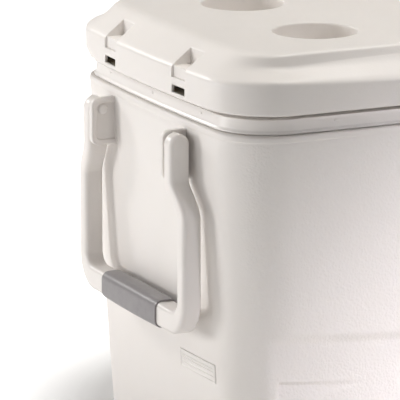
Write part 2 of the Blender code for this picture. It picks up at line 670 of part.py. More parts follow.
# ---- drain --------------------------------------------------------------------------
def drain_ring(profile, steps=20):
    return turned(profile, (0, CENTRE_Y, DRAIN_Z), "X", steps)


def drain_passage_cut():
    """Cutter for the hole through the shell, the foam and the liner, and the seat."""
    profile = [(0.270, 0), (0.270, DRAIN_R + GAP), (DRAIN_SEAT_X, DRAIN_R + GAP),
               (DRAIN_SEAT_X, DRAIN_SEAT_R), (0.350, DRAIN_SEAT_R), (0.350, 0)]
    return cutter("drain_passage_cut", drain_ring(profile))


def make_drain():
    seat = DRAIN_SEAT_X + GAP
    gasket = [(seat, DRAIN_R + GAP), (seat, FLANGE_R), (seat + GASKET_THICK, FLANGE_R),
              (seat + GASKET_THICK, DRAIN_R + GAP)]
    add_object("drain_gasket", drain_ring(gasket), BLACK_SEAL, "seal")
    flange = seat + GASKET_THICK + GAP
    spout = [(DRAIN_IN_X, DRAIN_BORE), (DRAIN_IN_X, DRAIN_R), (flange, DRAIN_R),
             (flange, FLANGE_R), (flange + FLANGE_THICK, FLANGE_R),
             (flange + FLANGE_THICK, DRAIN_R), (DRAIN_OUT_X, DRAIN_R), (DRAIN_OUT_X, DRAIN_BORE)]
    add_object("drain_spout", drain_ring(spout), WHITE_GLOSS, "drain")
    nut = [(NUT_LOW_X, DRAIN_R + GAP), (NUT_LOW_X, NUT_R), (NUT_HIGH_X, NUT_R),
           (NUT_HIGH_X, DRAIN_R + GAP)]
    add_object("drain_nut", drain_ring(nut, 12), WHITE_GLOSS, "drain")
    seal_in = DRAIN_OUT_X + GAP
    seal_out = seal_in + CAP_SEAL_THICK
    seal = [(seal_in, 0), (seal_in, CAP_SEAL_R), (seal_out, CAP_SEAL_R), (seal_out, 0)]
    on_axis = (DRAIN_OUT_X, CENTRE_Y, DRAIN_Z)
    add_object("drain_cap_seal", drain_ring(seal, 16), BLACK_SEAL, "seal", origin=on_axis)
    top_in = seal_out + GAP
    cap = [(top_in, 0), (top_in, CAP_BORE), (CAP_IN_X, CAP_BORE), (CAP_IN_X, CAP_R),
           (CAP_OUT_X - CAP_CHAMFER, CAP_R), (CAP_OUT_X, CAP_R - CAP_CHAMFER), (CAP_OUT_X, 0)]
    add_object("drain_cap", drain_ring(cap), WHITE_HANDLE, "cap", origin=on_axis)


# ---- the whole chest ----------------------------------------------------------------
def main():
    clear_scene()
    shell, foam, liner = make_outer_shell(), make_body_foam(), make_inner_liner()
    make_tub_floor()
    passage = drain_passage_cut()
    for piece in (shell, foam, liner):
        combine(piece, passage)
    body_holes = screw_holes("body", BODY_LEAF_Y)
    for piece in (shell, foam):
        combine(piece, body_holes)

    lid_shell, lid_foam = make_lid_top_shell(), make_lid_foam()
    make_lid_inner_panel()
    lid_holes = screw_holes("lid", LID_LEAF_Y)
    for piece in (lid_shell, lid_foam):
        combine(piece, lid_holes)

    for side, sign in (("left", -1), ("right", 1)):
        make_bail(side, sign)
        make_grip(side, sign)
        for place, mirror in (("front", -1), ("rear", 1)):
            make_bracket(side, sign, place, mirror)
            make_pivot_pin(side, sign, place, mirror)
    make_hinges()
    make_drain()


main()
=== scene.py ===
"""Looks of the cooler chest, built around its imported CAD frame.

Every piece has the place and outer size of its CAD node, with finer surfaces. The recess on the
front and the back is deeper here than there, and the handles have no bores for their pins.
The scoops in the recess, the nubs on the rim and the ribbed plate are only here.
All sizes are in metres, in the frame's own axes: +X along the length, -Y the front, +Z up.
"""
import math

import bmesh
import bpy
import numpy as np
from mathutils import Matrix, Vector


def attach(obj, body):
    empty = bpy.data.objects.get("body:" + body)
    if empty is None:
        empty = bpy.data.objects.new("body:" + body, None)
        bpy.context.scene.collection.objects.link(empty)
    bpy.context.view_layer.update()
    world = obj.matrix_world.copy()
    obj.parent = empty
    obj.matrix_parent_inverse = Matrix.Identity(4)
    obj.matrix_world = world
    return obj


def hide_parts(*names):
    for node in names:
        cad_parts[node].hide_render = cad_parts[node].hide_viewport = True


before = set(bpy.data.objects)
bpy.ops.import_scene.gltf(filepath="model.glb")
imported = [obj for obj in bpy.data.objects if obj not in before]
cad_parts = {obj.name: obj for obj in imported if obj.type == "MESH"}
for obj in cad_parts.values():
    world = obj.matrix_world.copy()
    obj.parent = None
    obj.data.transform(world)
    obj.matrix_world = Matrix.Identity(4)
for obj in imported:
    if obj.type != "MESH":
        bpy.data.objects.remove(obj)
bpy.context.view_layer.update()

# ---- driving dimensions, the part's own except for the recess ----
SEAM_X, SEAM_Y, SEAM_Z = 0.331, 0.1915, 0.350
END_BOW, SIDE_BOW = 0.0079, 0.0020
DRAFT = math.tan(math.radians(3.0))
TUB_DRAFT = math.tan(math.radians(2.5))
BODY_CORNER = 0.055
CENTRE_Y = -0.00235
GAP = 0.0004
WALL = 0.003
SHOULDER_OUT, SHOULDER_Z = 0.0035, 0.345
RIM_LEDGE_Z, RIM_LEDGE_IN = 0.3646, 0.0150

RECESS_DEPTH, RECESS_FADE, RECESS_LOW = 0.0066, 0.0135, 0.030
RECESS_MID_TOP, RECESS_RISE = 0.1378, 0.0222     # its upper edge climbs towards the ends
SCOOP_DROP = 0.0515                              # scoop's upper edge, under the recess's
SCOOP_END, SCOOP_LONG = 0.2840, 0.103            # from its blunt end inwards to its tip
SCOOP_HIGH, SCOOP_DEEP = 0.0265, 0.0090

LID_OVERHANG, LID_SKIN = 0.0085, 0.0028
LID_Z, LID_TOP_Z = 0.370, 0.425
EDGE_Z, FOOT_Z, STEP_INSET = 0.404, 0.4095, 0.022   # skirt's edge and the step behind it
SAG_REACH, SAG_LOW_Z = 0.300, 0.3905                # where the lid's front starts to sag
EDGE_SAG, FOOT_RISE = 0.010, 0.0065
CUP_X, CUP_Y, CUP_R, CUP_DEPTH = 0.198, 0.081, 0.042, 0.028
STRAP_Y, STRAP_HALF = 0.080, 0.014
NOTCH_FLOOR_Z, NOTCH_DEPTH = 0.4005, 0.0205
CHANNEL_Z, CHANNEL_DEPTH = 0.3895, 0.0025
SLOT_LOW, SLOT_HIGH = 0.3745, 0.3820

PIVOT_OUT, PIVOT_DOWN = 0.0225, 0.021
ARM_TOP_Y, ARM_LOW_Y, ARM_THICK = 0.0965, 0.1165, 0.0175
ARM_TOP_HALF, ARM_LOW_HALF = 0.0109, 0.0103
ARM_TOP_OUT, ARM_LOW_OUT = 0.0245, 0.0208
DOGLEG_START, DOGLEG_END = 0.056, 0.092
BAR_DOWN, BAR_HALF_Z, BAR_HALF_X, BAIL_BEND = 0.1985, 0.0122, 0.0107, 0.024
GRIP_HALF, GRIP_SKIN = 0.064, 0.0015
BRACKET_IN_Y, BRACKET_THICK = 0.0803, 0.0070
BRACKET_TOP, BRACKET_LOW, BRACKET_OUT = 0.009, 0.058, 0.0355
PIN_R, PIN_HEAD_R = 0.0040, 0.0053

HINGE_X = (("left", -0.220), ("middle", 0.0), ("right", 0.220))
HINGE_Y, HINGE_Z = 0.2005, 0.360
HINGE_AXIS = (0.0, HINGE_Y + CENTRE_Y, HINGE_Z)
HINGE_HALF, KNUCKLE_HALF, KNUCKLE_GAP, KNUCKLE_ROOM = 0.030, 0.0115, 0.0005, 0.0052
BARREL_R, HINGE_PIN_R, HINGE_BORE, LEAF_THICK = 0.0045, 0.0018, 0.0021, 0.0025
BODY_LEAF_Y, BODY_LEAF_LOW = 0.1975, 0.320
LID_LEAF_Y, LID_LEAF_HIGH = 0.2024, 0.396
SCREW_R, SCREW_HEAD_R, SCREW_HEAD, SCREW_LONG = 0.0016, 0.0036, 0.0014, 0.010
SCREW_OFFSET, BODY_SCREW_Z, LID_SCREW_Z = 0.020, 0.334, 0.385

DRAIN_Z, DRAIN_BORE, DRAIN_R = 0.048, 0.0075, 0.011
DRAIN_AXIS = (0.0, CENTRE_Y, DRAIN_Z)
FLANGE_R, DRAIN_IN_X, DRAIN_OUT_X = 0.017, 0.2790, 0.3430
FLANGE_X, FLANGE_THICK = 0.3286, 0.0030
NUT_R, NUT_LOW_X, NUT_HIGH_X = 0.0138, 0.2806, 0.2855
CAP_R, CAP_BORE, CAP_IN_X, CAP_OUT_X, CAP_TOP_X = 0.0155, 0.0118, 0.3335, 0.3490, 0.3453

PLATE_Y, PLATE_Z = (-0.1237, -0.0492), (0.0915, 0.1108)    # ribbed plate on the left end
RIB_PITCH = 0.0044
NUB_Z, NUB_IN, NUB_OUT = 0.3600, 0.0023, 0.0009            # small rests on the rim's band
NUB_HALF_LONG, NUB_HALF_HIGH = 0.0026, 0.0011

SIDES = (("left", -1), ("right", 1))
QUARTERS = ((1, 1, 0), (-1, 1, 90), (-1, -1, 180), (1, -1, 270))   # signs, first angle
PLACES = (("front", -1), ("rear", 1))


# ---- small numeric helpers ----
def smooth(value):
    """0 below 0, 1 above 1, and an S curve between; works on arrays."""
    value = np.clip(value, 0.0, 1.0)
    return value * value * (3 - 2 * value)


def soften(points, cut, steps=4):
    """Round the inner corners of a path of points; cut is how far each corner is cut back."""
    points = [np.asarray(point, float) for point in points]
    cuts = [cut] * len(points) if np.isscalar(cut) else list(cut)
    path = [points[0]]
    for before, here, after, size in zip(points, points[1:], points[2:], cuts[1:]):
        if size == 0:
            path.append(here)
            continue
        back, ahead = before - here, after - here
        start = here + back * min(size / np.linalg.norm(back), 0.49)
        end = here + ahead * min(size / np.linalg.norm(ahead), 0.49)
        for t in np.linspace(0, 1, steps + 1):
            path.append((1 - t) ** 2 * start + 2 * t * (1 - t) * here + t ** 2 * end)
    path.append(points[-1])
    return np.array(path)


def around(steps):
    """Angles once round a circle."""
    return np.linspace(0, 2 * math.pi, steps, endpoint=False)


def at_height(x, y, z):
    """Points from arrays of X and Y, all at one height."""
    return np.stack([x, y, np.full(len(x), float(z))], 1)


def bowed(x, y):
    """X and Y, from the plan centre, moved out onto the bowed walls."""
    x_out = x + END_BOW * (1 - (y / SEAM_Y) ** 2) * (x / SEAM_X)
    y_out = y + SIDE_BOW * (1 - (x / SEAM_X) ** 2) * (y / SEAM_Y)
    return x_out, y_out + CENTRE_Y


# ---- plan outline ----
CORNER_STEPS = 36
LONG_COLUMNS = np.linspace(-1, 1, 170)[1:-1]      # shares of the straight front or back


def end_columns(extra=()):
    """Y of the columns on an end's straight stretch, with more of them where asked."""
    return np.array(sorted(set(np.round(np.linspace(-0.105, 0.105, 65), 6)) | set(extra)))


PLAIN_END = end_columns()


def plan_outline(half_x, half_y, corner, ends=PLAIN_END):
    """Rounded rectangle: its points, and how much each one belongs to the sides (0 at an end)."""
    reach_x, reach_y = half_x - corner, half_y - corner
    fixed = ends * min(1.0, (reach_y - 0.004) / 0.105)
    spread = np.linspace(fixed[-1], reach_y, 8)[1:-1]
    short = np.concatenate([-spread[::-1], fixed, spread])
    points, share = [], []
    for sign_x, sign_y, start in QUARTERS:
        angle = np.radians(start + np.linspace(0, 90, CORNER_STEPS + 1))
        points.append(np.stack([sign_x * reach_x + corner * np.cos(angle),
                                sign_y * reach_y + corner * np.sin(angle)], 1))
        share.append(np.sin(angle) ** 2)
        if sign_x == sign_y:
            xs = -sign_y * LONG_COLUMNS * reach_x
            points.append(np.stack([xs, np.full(len(xs), sign_y * half_y)], 1))
            share.append(np.ones(len(xs)))
        else:
            ys = -sign_y * short
            points.append(np.stack([np.full(len(ys), sign_x * half_x), ys], 1))
            share.append(np.zeros(len(ys)))
    return np.concatenate(points), np.concatenate(share)


def seam_ring(inset, z, corner):
    """Points of the seam's outline, moved in by an inset, at a height."""
    flat, _ = plan_outline(SEAM_X - inset, SEAM_Y - inset, corner)
    x, y = bowed(flat[:, 0], flat[:, 1])
    return at_height(x, y, z)


def body_inset(z):
    return -SHOULDER_OUT + (SHOULDER_Z - z) * DRAFT


def tub_inset(z):
    return 0.031 + (0.362 - z) * TUB_DRAFT


def end_face_x(y, z):
    """X of the body's right end face, y from the plan centre."""
    return bowed(SEAM_X - body_inset(z), y)[0]


# ---- mesh helpers ----
def loft_faces(row_count, columns, closed=False, holes=()):
    """Quads between rows of a wrapped grid; holes are (row, column) pairs left out."""
    left_out = set(holes)
    rows = range(row_count if closed else row_count - 1)
    return [(r * columns + c, r * columns + (c + 1) % columns,
             (r + 1) % row_count * columns + (c + 1) % columns, (r + 1) % row_count * columns + c)
            for r in rows for c in range(columns) if (r, c) not in left_out]


def add_object(name, data):
    thing = bpy.data.objects.new(name, data)
    bpy.context.scene.collection.objects.link(thing)
    return thing


def dress_mesh(mesh, material, sharp):
    """Smooth shading with edges kept above an angle in degrees, and the material."""
    mesh.shade_smooth()
    mesh.set_sharp_from_angle(angle=math.radians(sharp))
    mesh.materials.append(material)


def add_mesh(name, points, faces, material, sharp=35.0):
    mesh = bpy.data.meshes.new(name)
    mesh.from_pydata([tuple(point) for point in points], [], faces)
    mesh.update()
    dress_mesh(mesh, material, sharp)
    return add_object(name, mesh)


def gather(parts):
    """Points and faces of several lofts in one; parts are (rings, closed) pairs.

    A loft's ends are capped unless it is closed into a ring.
    """
    points, faces = [], []
    for rings, closed in parts:
        first, columns = len(points), len(rings[0])
        points.extend(np.concatenate(rings))
        faces += [tuple(first + k for k in face)
                  for face in loft_faces(len(rings), columns, closed)]
        if not closed:
            last = first + (len(rings) - 1) * columns
            faces.append(tuple(range(first + columns - 1, first - 1, -1)))
            faces.append(tuple(range(last, last + columns)))
    return points, faces


def add_loft(name, rings, material, closed=False, sharp=35.0):
    """Object skinned over one set of rings."""
    return add_mesh(name, *gather([(rings, closed)]), material, sharp)


def turned_points(profile, centre, axis, steps):
    """Rings of a turned profile of (distance, radius) points about an axis through centre."""
    along = np.eye(3)["XYZ".index(axis)]
    across = np.eye(3)[("XYZ".index(axis) + 1) % 3]
    up = np.eye(3)[("XYZ".index(axis) + 2) % 3]
    angle = around(steps)
    circle = np.outer(np.cos(angle), across) + np.outer(np.sin(angle), up)
    return [np.asarray(centre, float) + along * distance + circle * max(radius, 1e-5)
            for distance, radius in profile]


def scale_about(ring, axis_y, axis_z, scale):
    """Scale a ring's Y and Z about an axis along X, point by point."""
    middle = np.array([axis_y, axis_z])
    ring[:, 1:] = middle + (ring[:, 1:] - middle) * scale[:, None]


def settle(thing, body, *nodes, slot=None):
    """Let a piece ride on its body, in place of its CAD nodes."""
    work = bmesh.new()
    work.from_mesh(thing.data)
    bmesh.ops.recalc_face_normals(work, faces=work.faces)
    work.to_mesh(thing.data)
    work.free()
    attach(thing, body)
    if nodes:
        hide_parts(*nodes)


# ---- materials ----
def node(tree, kind, **values):
    made = tree.nodes.new("ShaderNode" + kind)
    for key, value in values.items():
        if key in made.inputs:
            made.inputs[key].default_value = value
        else:
            setattr(made, key, value)
    return made


def fill(made, values):
    """Set a node's sockets by their names."""
    for name, value in values.items():
        made.inputs[name].default_value = value


def link(source, target):
    source.id_data.links.new(source, target)


def noise(tree, where, scale, detail=3.0, roughness=0.5):
    made = node(tree, "TexNoise", Scale=scale, Detail=detail, Roughness=roughness)
    link(where, made.inputs["Vector"])
    return made.outputs["Fac"]


def remap(tree, value, low, high, out_low, out_high):
    made = node(tree, "MapRange")
    fill(made, {"From Min": low, "From Max": high, "To Min": out_low, "To Max": out_high})
    link(value, made.inputs["Value"])
    return made.outputs["Result"]


def maths(tree, operation, first, second):
    made = node(tree, "Math", operation=operation)
    for socket, value in zip(made.inputs, (first, second)):
        if isinstance(value, (int, float)):
            socket.default_value = value
        else:
            link(value, socket)
    return made.outputs[0]


def tinted(tree, share, light, dark):
    """Colour between dark and light by a 0 to 1 share that varies over the surface."""
    ramp = node(tree, "ValToRGB")
    ramp.color_ramp.elements[0].color = (*dark, 1)
    ramp.color_ramp.elements[1].color = (*light, 1)
    link(share, ramp.inputs["Fac"])
    return ramp.outputs["Color"]


def start_material(name):
    material = bpy.data.materials.new(name)
    material.use_nodes = True
    tree = material.node_tree
    shader = tree.nodes["Principled BSDF"]
    where = node(tree, "TexCoord").outputs["Object"]
    return material, tree, shader, where


def mottle(tree, shader, tone, light, dark):
    """Base colour between dark and light, spread over a noise's middle range."""
    colour = tinted(tree, remap(tree, tone, 0.3, 0.7, 0.0, 1.0), light, dark)
    link(colour, shader.inputs["Base Color"])


def bump(tree, height, shader):
    made = node(tree, "Bump", Distance=1.0, Strength=1.0)
    link(height, made.inputs["Height"])
    link(made.outputs["Normal"], shader.inputs["Normal"])


def plastic(name, light, dark, rough_low, rough_high, grain=0.0, grain_scale=420.0,
            wave=0.00006, coat=0.0, attribute=None):
    """Moulded plastic: faint tone changes, fine orange peel, and grain where it is textured.

    Where attribute is given, the mesh's float attribute of that name says how strong the
    grain is.
    """
    material, tree, shader, where = start_material(name)
    mottle(tree, shader, noise(tree, where, 9.0, 4.0, 0.6), light, dark)
    smear = noise(tree, where, 38.0, 5.0, 0.65)
    rough = remap(tree, smear, 0.3, 0.7, rough_low, rough_high)
    peel = maths(tree, "MULTIPLY", noise(tree, where, 160.0, 2.0), wave)
    height = peel
    if grain:
        cells = node(tree, "TexVoronoi", feature="SMOOTH_F1")
        fill(cells, {"Scale": grain_scale, "Smoothness": 0.6, "Randomness": 1.0})
        link(where, cells.inputs["Vector"])
        lumps = maths(tree, "ADD", maths(tree, "MULTIPLY", cells.outputs["Distance"], -0.8),
                      noise(tree, where, grain_scale * 0.7, 3.0, 0.6))
        lumps = maths(tree, "MULTIPLY", lumps, grain)
        if attribute:
            share = node(tree, "Attribute", attribute_name=attribute)
            lumps = maths(tree, "MULTIPLY", lumps, share.outputs["Fac"])
            extra = maths(tree, "MULTIPLY", share.outputs["Fac"], 0.10)
            rough = maths(tree, "ADD", rough, extra)
        height = maths(tree, "ADD", peel, lumps)
    link(rough, shader.inputs["Roughness"])
    bump(tree, height, shader)
    fill(shader, {"Coat Weight": coat, "Coat Roughness": 0.25, "Subsurface Weight": 0.06,
                  "Subsurface Radius": (0.006, 0.005, 0.004), "Subsurface Scale": 1.0})
    return material


def rubber(name, light, dark, rough_low, rough_high, grain_scale=900.0, grain=0.00005):
    material, tree, shader, where = start_material(name)
    mottle(tree, shader, noise(tree, where, 55.0, 5.0, 0.7), light, dark)
    rough = remap(tree, noise(tree, where, 120.0, 4.0), 0.3, 0.7, rough_low, rough_high)
    link(rough, shader.inputs["Roughness"])
    height = maths(tree, "MULTIPLY", noise(tree, where, grain_scale, 4.0, 0.7), grain)
    bump(tree, height, shader)
    fill(shader, {"Sheen Weight": 0.15, "Sheen Roughness": 0.5})
    return material


def steel(name):
    material, tree, shader, where = start_material(name)
    stretch = node(tree, "Mapping", Scale=(40.0, 900.0, 900.0))
    link(where, stretch.inputs["Vector"])
    lines = noise(tree, stretch.outputs["Vector"], 1.0, 3.0)
    link(remap(tree, lines, 0.3, 0.7, 0.22, 0.40), shader.inputs["Roughness"])
    tone = noise(tree, where, 60.0, 4.0)
    link(tinted(tree, tone, (0.66, 0.66, 0.67), (0.52, 0.52, 0.53)), shader.inputs["Base Color"])
    bump(tree, maths(tree, "MULTIPLY", lines, 0.00002), shader)
    shader.inputs["Metallic"].default_value = 1.0
    return material


def foam(name):
    material, tree, shader, where = start_material(name)
    cells = node(tree, "TexVoronoi", Scale=700.0)
    link(where, cells.inputs["Vector"])
    tone = noise(tree, where, 30.0, 5.0)
    link(tinted(tree, tone, (0.84, 0.76, 0.54), (0.70, 0.60, 0.38)), shader.inputs["Base Color"])
    bump(tree, maths(tree, "MULTIPLY", cells.outputs["Distance"], 0.0003), shader)
    shader.inputs["Roughness"].default_value = 0.95
    return material


BODY = plastic("pebbled_white", (0.842, 0.806, 0.776), (0.822, 0.786, 0.755), 0.42, 0.52,
               grain=0.0005, attribute="pebble")
LID = plastic("lid_white", (0.842, 0.804, 0.772), (0.822, 0.784, 0.751), 0.38, 0.47,
              grain=0.00004, grain_scale=500.0)
LINER = plastic("liner_white", (0.846, 0.812, 0.784), (0.828, 0.794, 0.765), 0.30, 0.40)
HANDLE = plastic("handle_white", (0.838, 0.800, 0.770), (0.818, 0.780, 0.750), 0.30, 0.40)
DRAIN = plastic("drain_white", (0.840, 0.820, 0.800), (0.810, 0.790, 0.770), 0.22, 0.32)
HINGE = plastic("hinge_white", (0.840, 0.818, 0.798), (0.810, 0.788, 0.768), 0.26, 0.36)
GRIP = rubber("grip_rubber", (0.262, 0.246, 0.252), (0.228, 0.214, 0.221), 0.36, 0.48)
SEAL = rubber("seal_rubber", (0.040, 0.040, 0.042), (0.026, 0.026, 0.028), 0.50, 0.65)
STEEL = steel("stainless")
FOAM = foam("foam_core")


# ---- body shell ----
def recess_top(x):
    """Height of the upper edge of the recess on the front and the back."""
    return RECESS_MID_TOP + RECESS_RISE * (x / SEAM_X) ** 2


def recess_depth(x, z):
    fall = smooth((recess_top(x) - z) / RECESS_FADE)
    rise = smooth((z - RECESS_LOW + RECESS_FADE) / RECESS_FADE)
    return RECESS_DEPTH * fall * rise


def scoop_depth(x, z):
    """Long scoop inside the recess near each end: a lip above, a slope below, a pointed tip."""
    along = np.clip((SCOOP_END - np.abs(x)) / SCOOP_LONG, 0.0, 1.0)
    high = SCOOP_HIGH * (1 - along) ** 0.85 + 1e-6
    below = recess_top(x) - SCOOP_DROP - z
    lip = smooth(below / 0.0055)
    slope = np.clip(1 - below / high, 0.0, 1.0)
    blunt = smooth((SCOOP_END - np.abs(x)) / 0.004)
    return SCOOP_DEEP * (high / SCOOP_HIGH) * lip * slope * blunt


def body_rows():
    """Heights of the body's rows at its ends; finer where the recess and the scoop are."""
    coarse = list(np.arange(0.012, 0.060, 0.003)) + list(np.arange(0.168, 0.3405, 0.004))
    fine = list(np.arange(0.060, 0.168, 0.0015))
    return sorted(coarse + fine)


def body_ring(z_row, extra=0.0):
    """One row of the body's outside, with the recess, the scoop and the step lines."""
    inset = body_inset(z_row) + extra
    flat, share = plan_outline(SEAM_X - inset, SEAM_Y - inset, BODY_CORNER)
    x, y = flat[:, 0], flat[:, 1]
    near_recess = smooth((z_row - 0.010) / 0.05) * smooth((0.26 - z_row) / 0.09)
    level = recess_top(x) - recess_top(SEAM_X * 0.85)
    z = z_row + near_recess * share * level
    depth = recess_depth(x, z)
    limit = SEAM_Y - inset - depth
    over = np.abs(y) - limit
    blend = 0.003 * depth / RECESS_DEPTH + 1e-9
    excess = np.where(over > blend, over, np.clip(over + blend, 0, None) ** 2 / (4 * blend))
    excess = np.where(depth > 1e-6, np.minimum(excess, np.maximum(over, 0) + blend / 4), 0.0)
    y = np.sign(y) * (np.abs(y) - excess - np.where(share > 0.3, scoop_depth(x, z), 0.0))
    on_end = share < 1e-6
    step = 0.0004 * smooth((z - 0.2705) / 0.001) * smooth((0.100 - np.abs(y)) / 0.006)
    x = x + np.sign(x) * np.where(on_end, step, 0.0)
    x, y = bowed(x, y)
    return np.stack([x, y, z], 1), share


def make_body_shell():
    """Casing with its recess and scoops; "pebble" says how textured each point is."""
    rings, shares = [], []
    foot = soften([(0.010, 0.0), (0.0, 0.0), (0.0, 0.010)], 0.009, 6)
    rows = [(z, inset, smooth((z - 0.004) / 0.01)) for inset, z in foot]
    rows += [(z, 0.0, 1.0) for z in body_rows()]
    for z, inset, grain in rows:
        ring, share = body_ring(z, inset)
        rings.append(ring)
        shares.append(share * grain)
    step_z = SHOULDER_Z - 0.002
    lip = [(body_inset(step_z - 0.0015) + 0.0002, step_z - 0.0015),
           (body_inset(step_z) + 0.0002, step_z),
           (-SHOULDER_OUT - 0.0002, step_z + 0.0006)]
    crest = soften([(-SHOULDER_OUT - 0.0002, step_z + 0.001), (-SHOULDER_OUT, SEAM_Z - 0.0002),
                    (0.009, SEAM_Z)], (0, 0.0035, 0), 6)
    plain = [seam_ring(inset, z, BODY_CORNER - max(inset, 0.0)) for inset, z in lip + list(crest)]
    behind_recess = WALL + RECESS_DEPTH + SCOOP_DEEP
    inside = [(SEAM_Z - WALL, 0.009), (0.340, WALL), (0.186, WALL), (0.150, behind_recess),
              (0.030, behind_recess), (0.004, WALL + 0.002)]
    for z, depth in inside:
        inset = depth if z > SHOULDER_Z else body_inset(z) + depth
        plain.append(seam_ring(inset, z, BODY_CORNER - depth))
    shares += [np.zeros(len(ring)) for ring in plain]
    shell = add_loft("body_shell", rings + plain, BODY)
    layer = shell.data.attributes.new("pebble", "FLOAT", "POINT")
    layer.data.foreach_set("value", smooth(np.concatenate(shares) * 1.4 - 0.1).astype(np.float32))
    settle(shell, "chest", "outer_shell", slot="body_white")


def make_body_foam():
    """Foam between the shell and the tub, set back behind the recess and the scoops."""
    slack = WALL + 0.0006
    behind_recess = slack + RECESS_DEPTH + SCOOP_DEEP
    neck, top, tub_gap = 0.0110, 0.3606, WALL + 0.0008
    outside = [(0.006, slack + 0.002), (0.022, slack), (0.030, behind_recess),
               (0.174, behind_recess), (0.188, slack), (0.342, slack)]
    rings = [seam_ring(body_inset(z) + depth, z, BODY_CORNER - depth) for z, depth in outside]
    rings += [seam_ring(neck, z, BODY_CORNER - neck) for z in (0.3460, top)]
    inside = [(tub_inset(top) - tub_gap, top), (tub_inset(0.040) - tub_gap, 0.040),
              (tub_inset(0.026) + 0.006, 0.0262)]
    rings += [seam_ring(inset, z, BODY_CORNER - 0.025) for inset, z in inside]
    core = add_loft("body_foam_core", rings, FOAM)
    settle(core, "chest", "body_foam", slot="foam_core")


# ---- liner ----
def make_liner():
    """Tub with its rim band and the ledge on it."""
    def tub(z, more=0.0, wall=0.0):
        return tub_inset(z) + more - wall, z

    base = SEAM_Z + GAP
    outer = [(0.0045, 0.3555), (0.0030, base), (0.0002, base), (0.0002, 0.3518),
             (0.0018, 0.3540), (0.0024, 0.3615), (0.0030, RIM_LEDGE_Z),
             (RIM_LEDGE_IN, RIM_LEDGE_Z), (RIM_LEDGE_IN + 0.001, 0.3680),
             (0.0270, 0.3680), tub(0.3640), tub(0.0420), tub(0.0300, 0.009), tub(0.0300, 0.040)]
    cuts = (0, 0.0003, 0.0006, 0.0006, 0.0008, 0.001, 0.0010, 0.0006, 0.0012, 0.0035, 0.003, 0.008,
            0.010, 0)
    outside = soften(outer, cuts, 6)
    under = [tub(0.0270, 0.040, WALL), tub(0.0270, 0.009, WALL), tub(0.039, 0.0, WALL),
             tub(0.3616, 0.0, WALL), (0.0090, 0.3616), (0.0064, 0.3600)]
    rings = []
    for inset, z in list(under) + list(outside):
        corner = BODY_CORNER - max(inset, 0.0) if inset < 0.02 else BODY_CORNER - 0.025
        rings.append(seam_ring(inset, z, corner))
    liner = add_loft("tub_liner", rings, LINER)
    settle(liner, "chest", "inner_liner", "tub_floor", slot="liner_white")


def make_rim_nubs():
    """Small rounded rests on the rim's band, on all four sides."""
    spots = [(side * SEAM_X, y, side, 0) for side in (-1, 1) for y in (-0.106, 0.0, 0.106)]
    spots += [(x, side * SEAM_Y, 0, side) for side in (-1, 1) for x in (-0.231, 0.231)]
    parts, angle = [], around(20)
    for edge_x, edge_y, out_x, out_y in spots:
        x, y = bowed(edge_x - out_x * NUB_IN, edge_y - out_y * NUB_IN)
        along, out = np.array([abs(out_y), abs(out_x), 0.0]), np.array([out_x, out_y, 0.0])
        rings = []
        for tilt in np.radians(np.linspace(-40, 86, 9)):
            centre = np.array([x, y, NUB_Z]) + out * NUB_OUT * math.sin(tilt)
            oval = (np.outer(np.cos(angle), along) * NUB_HALF_LONG
                    + np.outer(np.sin(angle), [0, 0, 1]) * NUB_HALF_HIGH)
            rings.append(centre + math.cos(tilt) * oval)
        parts.append((rings, False))
    nubs = add_mesh("rim_nubs", *gather(parts), LINER, 60)
    settle(nubs, "chest", slot="liner_white")


def plate_height(y, z):
    """How far the plate stands off the end face: a low field, a rim and three long ribs."""
    middle_y, middle_z = sum(PLATE_Y) / 2, sum(PLATE_Z) / 2
    half_y, half_z = (PLATE_Y[1] - PLATE_Y[0]) / 2, (PLATE_Z[1] - PLATE_Z[0]) / 2
    edge = np.minimum(half_y - np.abs(y - middle_y), half_z - abs(z - middle_z))
    rim = smooth(edge / 0.0006) * (1 - smooth((edge - 0.0013) / 0.0006))
    near = min(abs(z - middle_z - k * RIB_PITCH) for k in (-1, 0, 1))
    rib = (1 - smooth((near - 0.0010) / 0.0008)) * smooth((edge - 0.0045) / 0.0010)
    return 0.0002 + 0.0002 * smooth(edge / 0.0005) + 0.0007 * np.maximum(rim, rib)


def make_plate():
    """Plain ribbed plate on the left end, under the handle."""
    ys = np.linspace(PLATE_Y[0], PLATE_Y[1], 150)
    rings = []
    for z in np.linspace(PLATE_Z[0], PLATE_Z[1], 110):
        face = end_face_x(ys, z)
        front, back = -(face + plate_height(ys, z)), -(face - 0.0008)
        x, y = np.concatenate([front, back[::-1]]), np.concatenate([ys, ys[::-1]])
        rings.append(at_height(x, y + CENTRE_Y, z))
    plate = add_loft("ribbed_plate", rings, BODY, sharp=60)
    settle(plate, "chest", slot="body_white")


# ---- lid ----
# Two profiles with the same number of points: (inset, height) on the ends and on the sides.
SKIRT_Z = (0.3712, 0.3725, SLOT_LOW, 0.3770, 0.3795, SLOT_HIGH, 0.3850, 0.3885, 0.3893,
           0.3897, 0.3905, 0.3940)
END_PROFILE = [(0.0010, LID_Z)] + [(0.0, z) for z in SKIRT_Z]
SIDE_PROFILE = [(u, z + max(0.0, z - 0.3905) * 0.3) for u, z in END_PROFILE]
END_SLOPE = [(0.0, 0.4000), (0.0180, 0.4142), (0.0300, 0.4236), (0.0400, 0.4250)]
SIDE_SLOPE = [(0.0, EDGE_Z), (STEP_INSET, FOOT_Z), (0.0275, 0.4242), (0.0345, 0.4250)]
SLOPE_CUTS = (0, 0.0052, 0.0055, 0.0045, 0.003)
SIDE_CUTS = (0, 0.0056, 0.0050, 0.0034, 0.003)


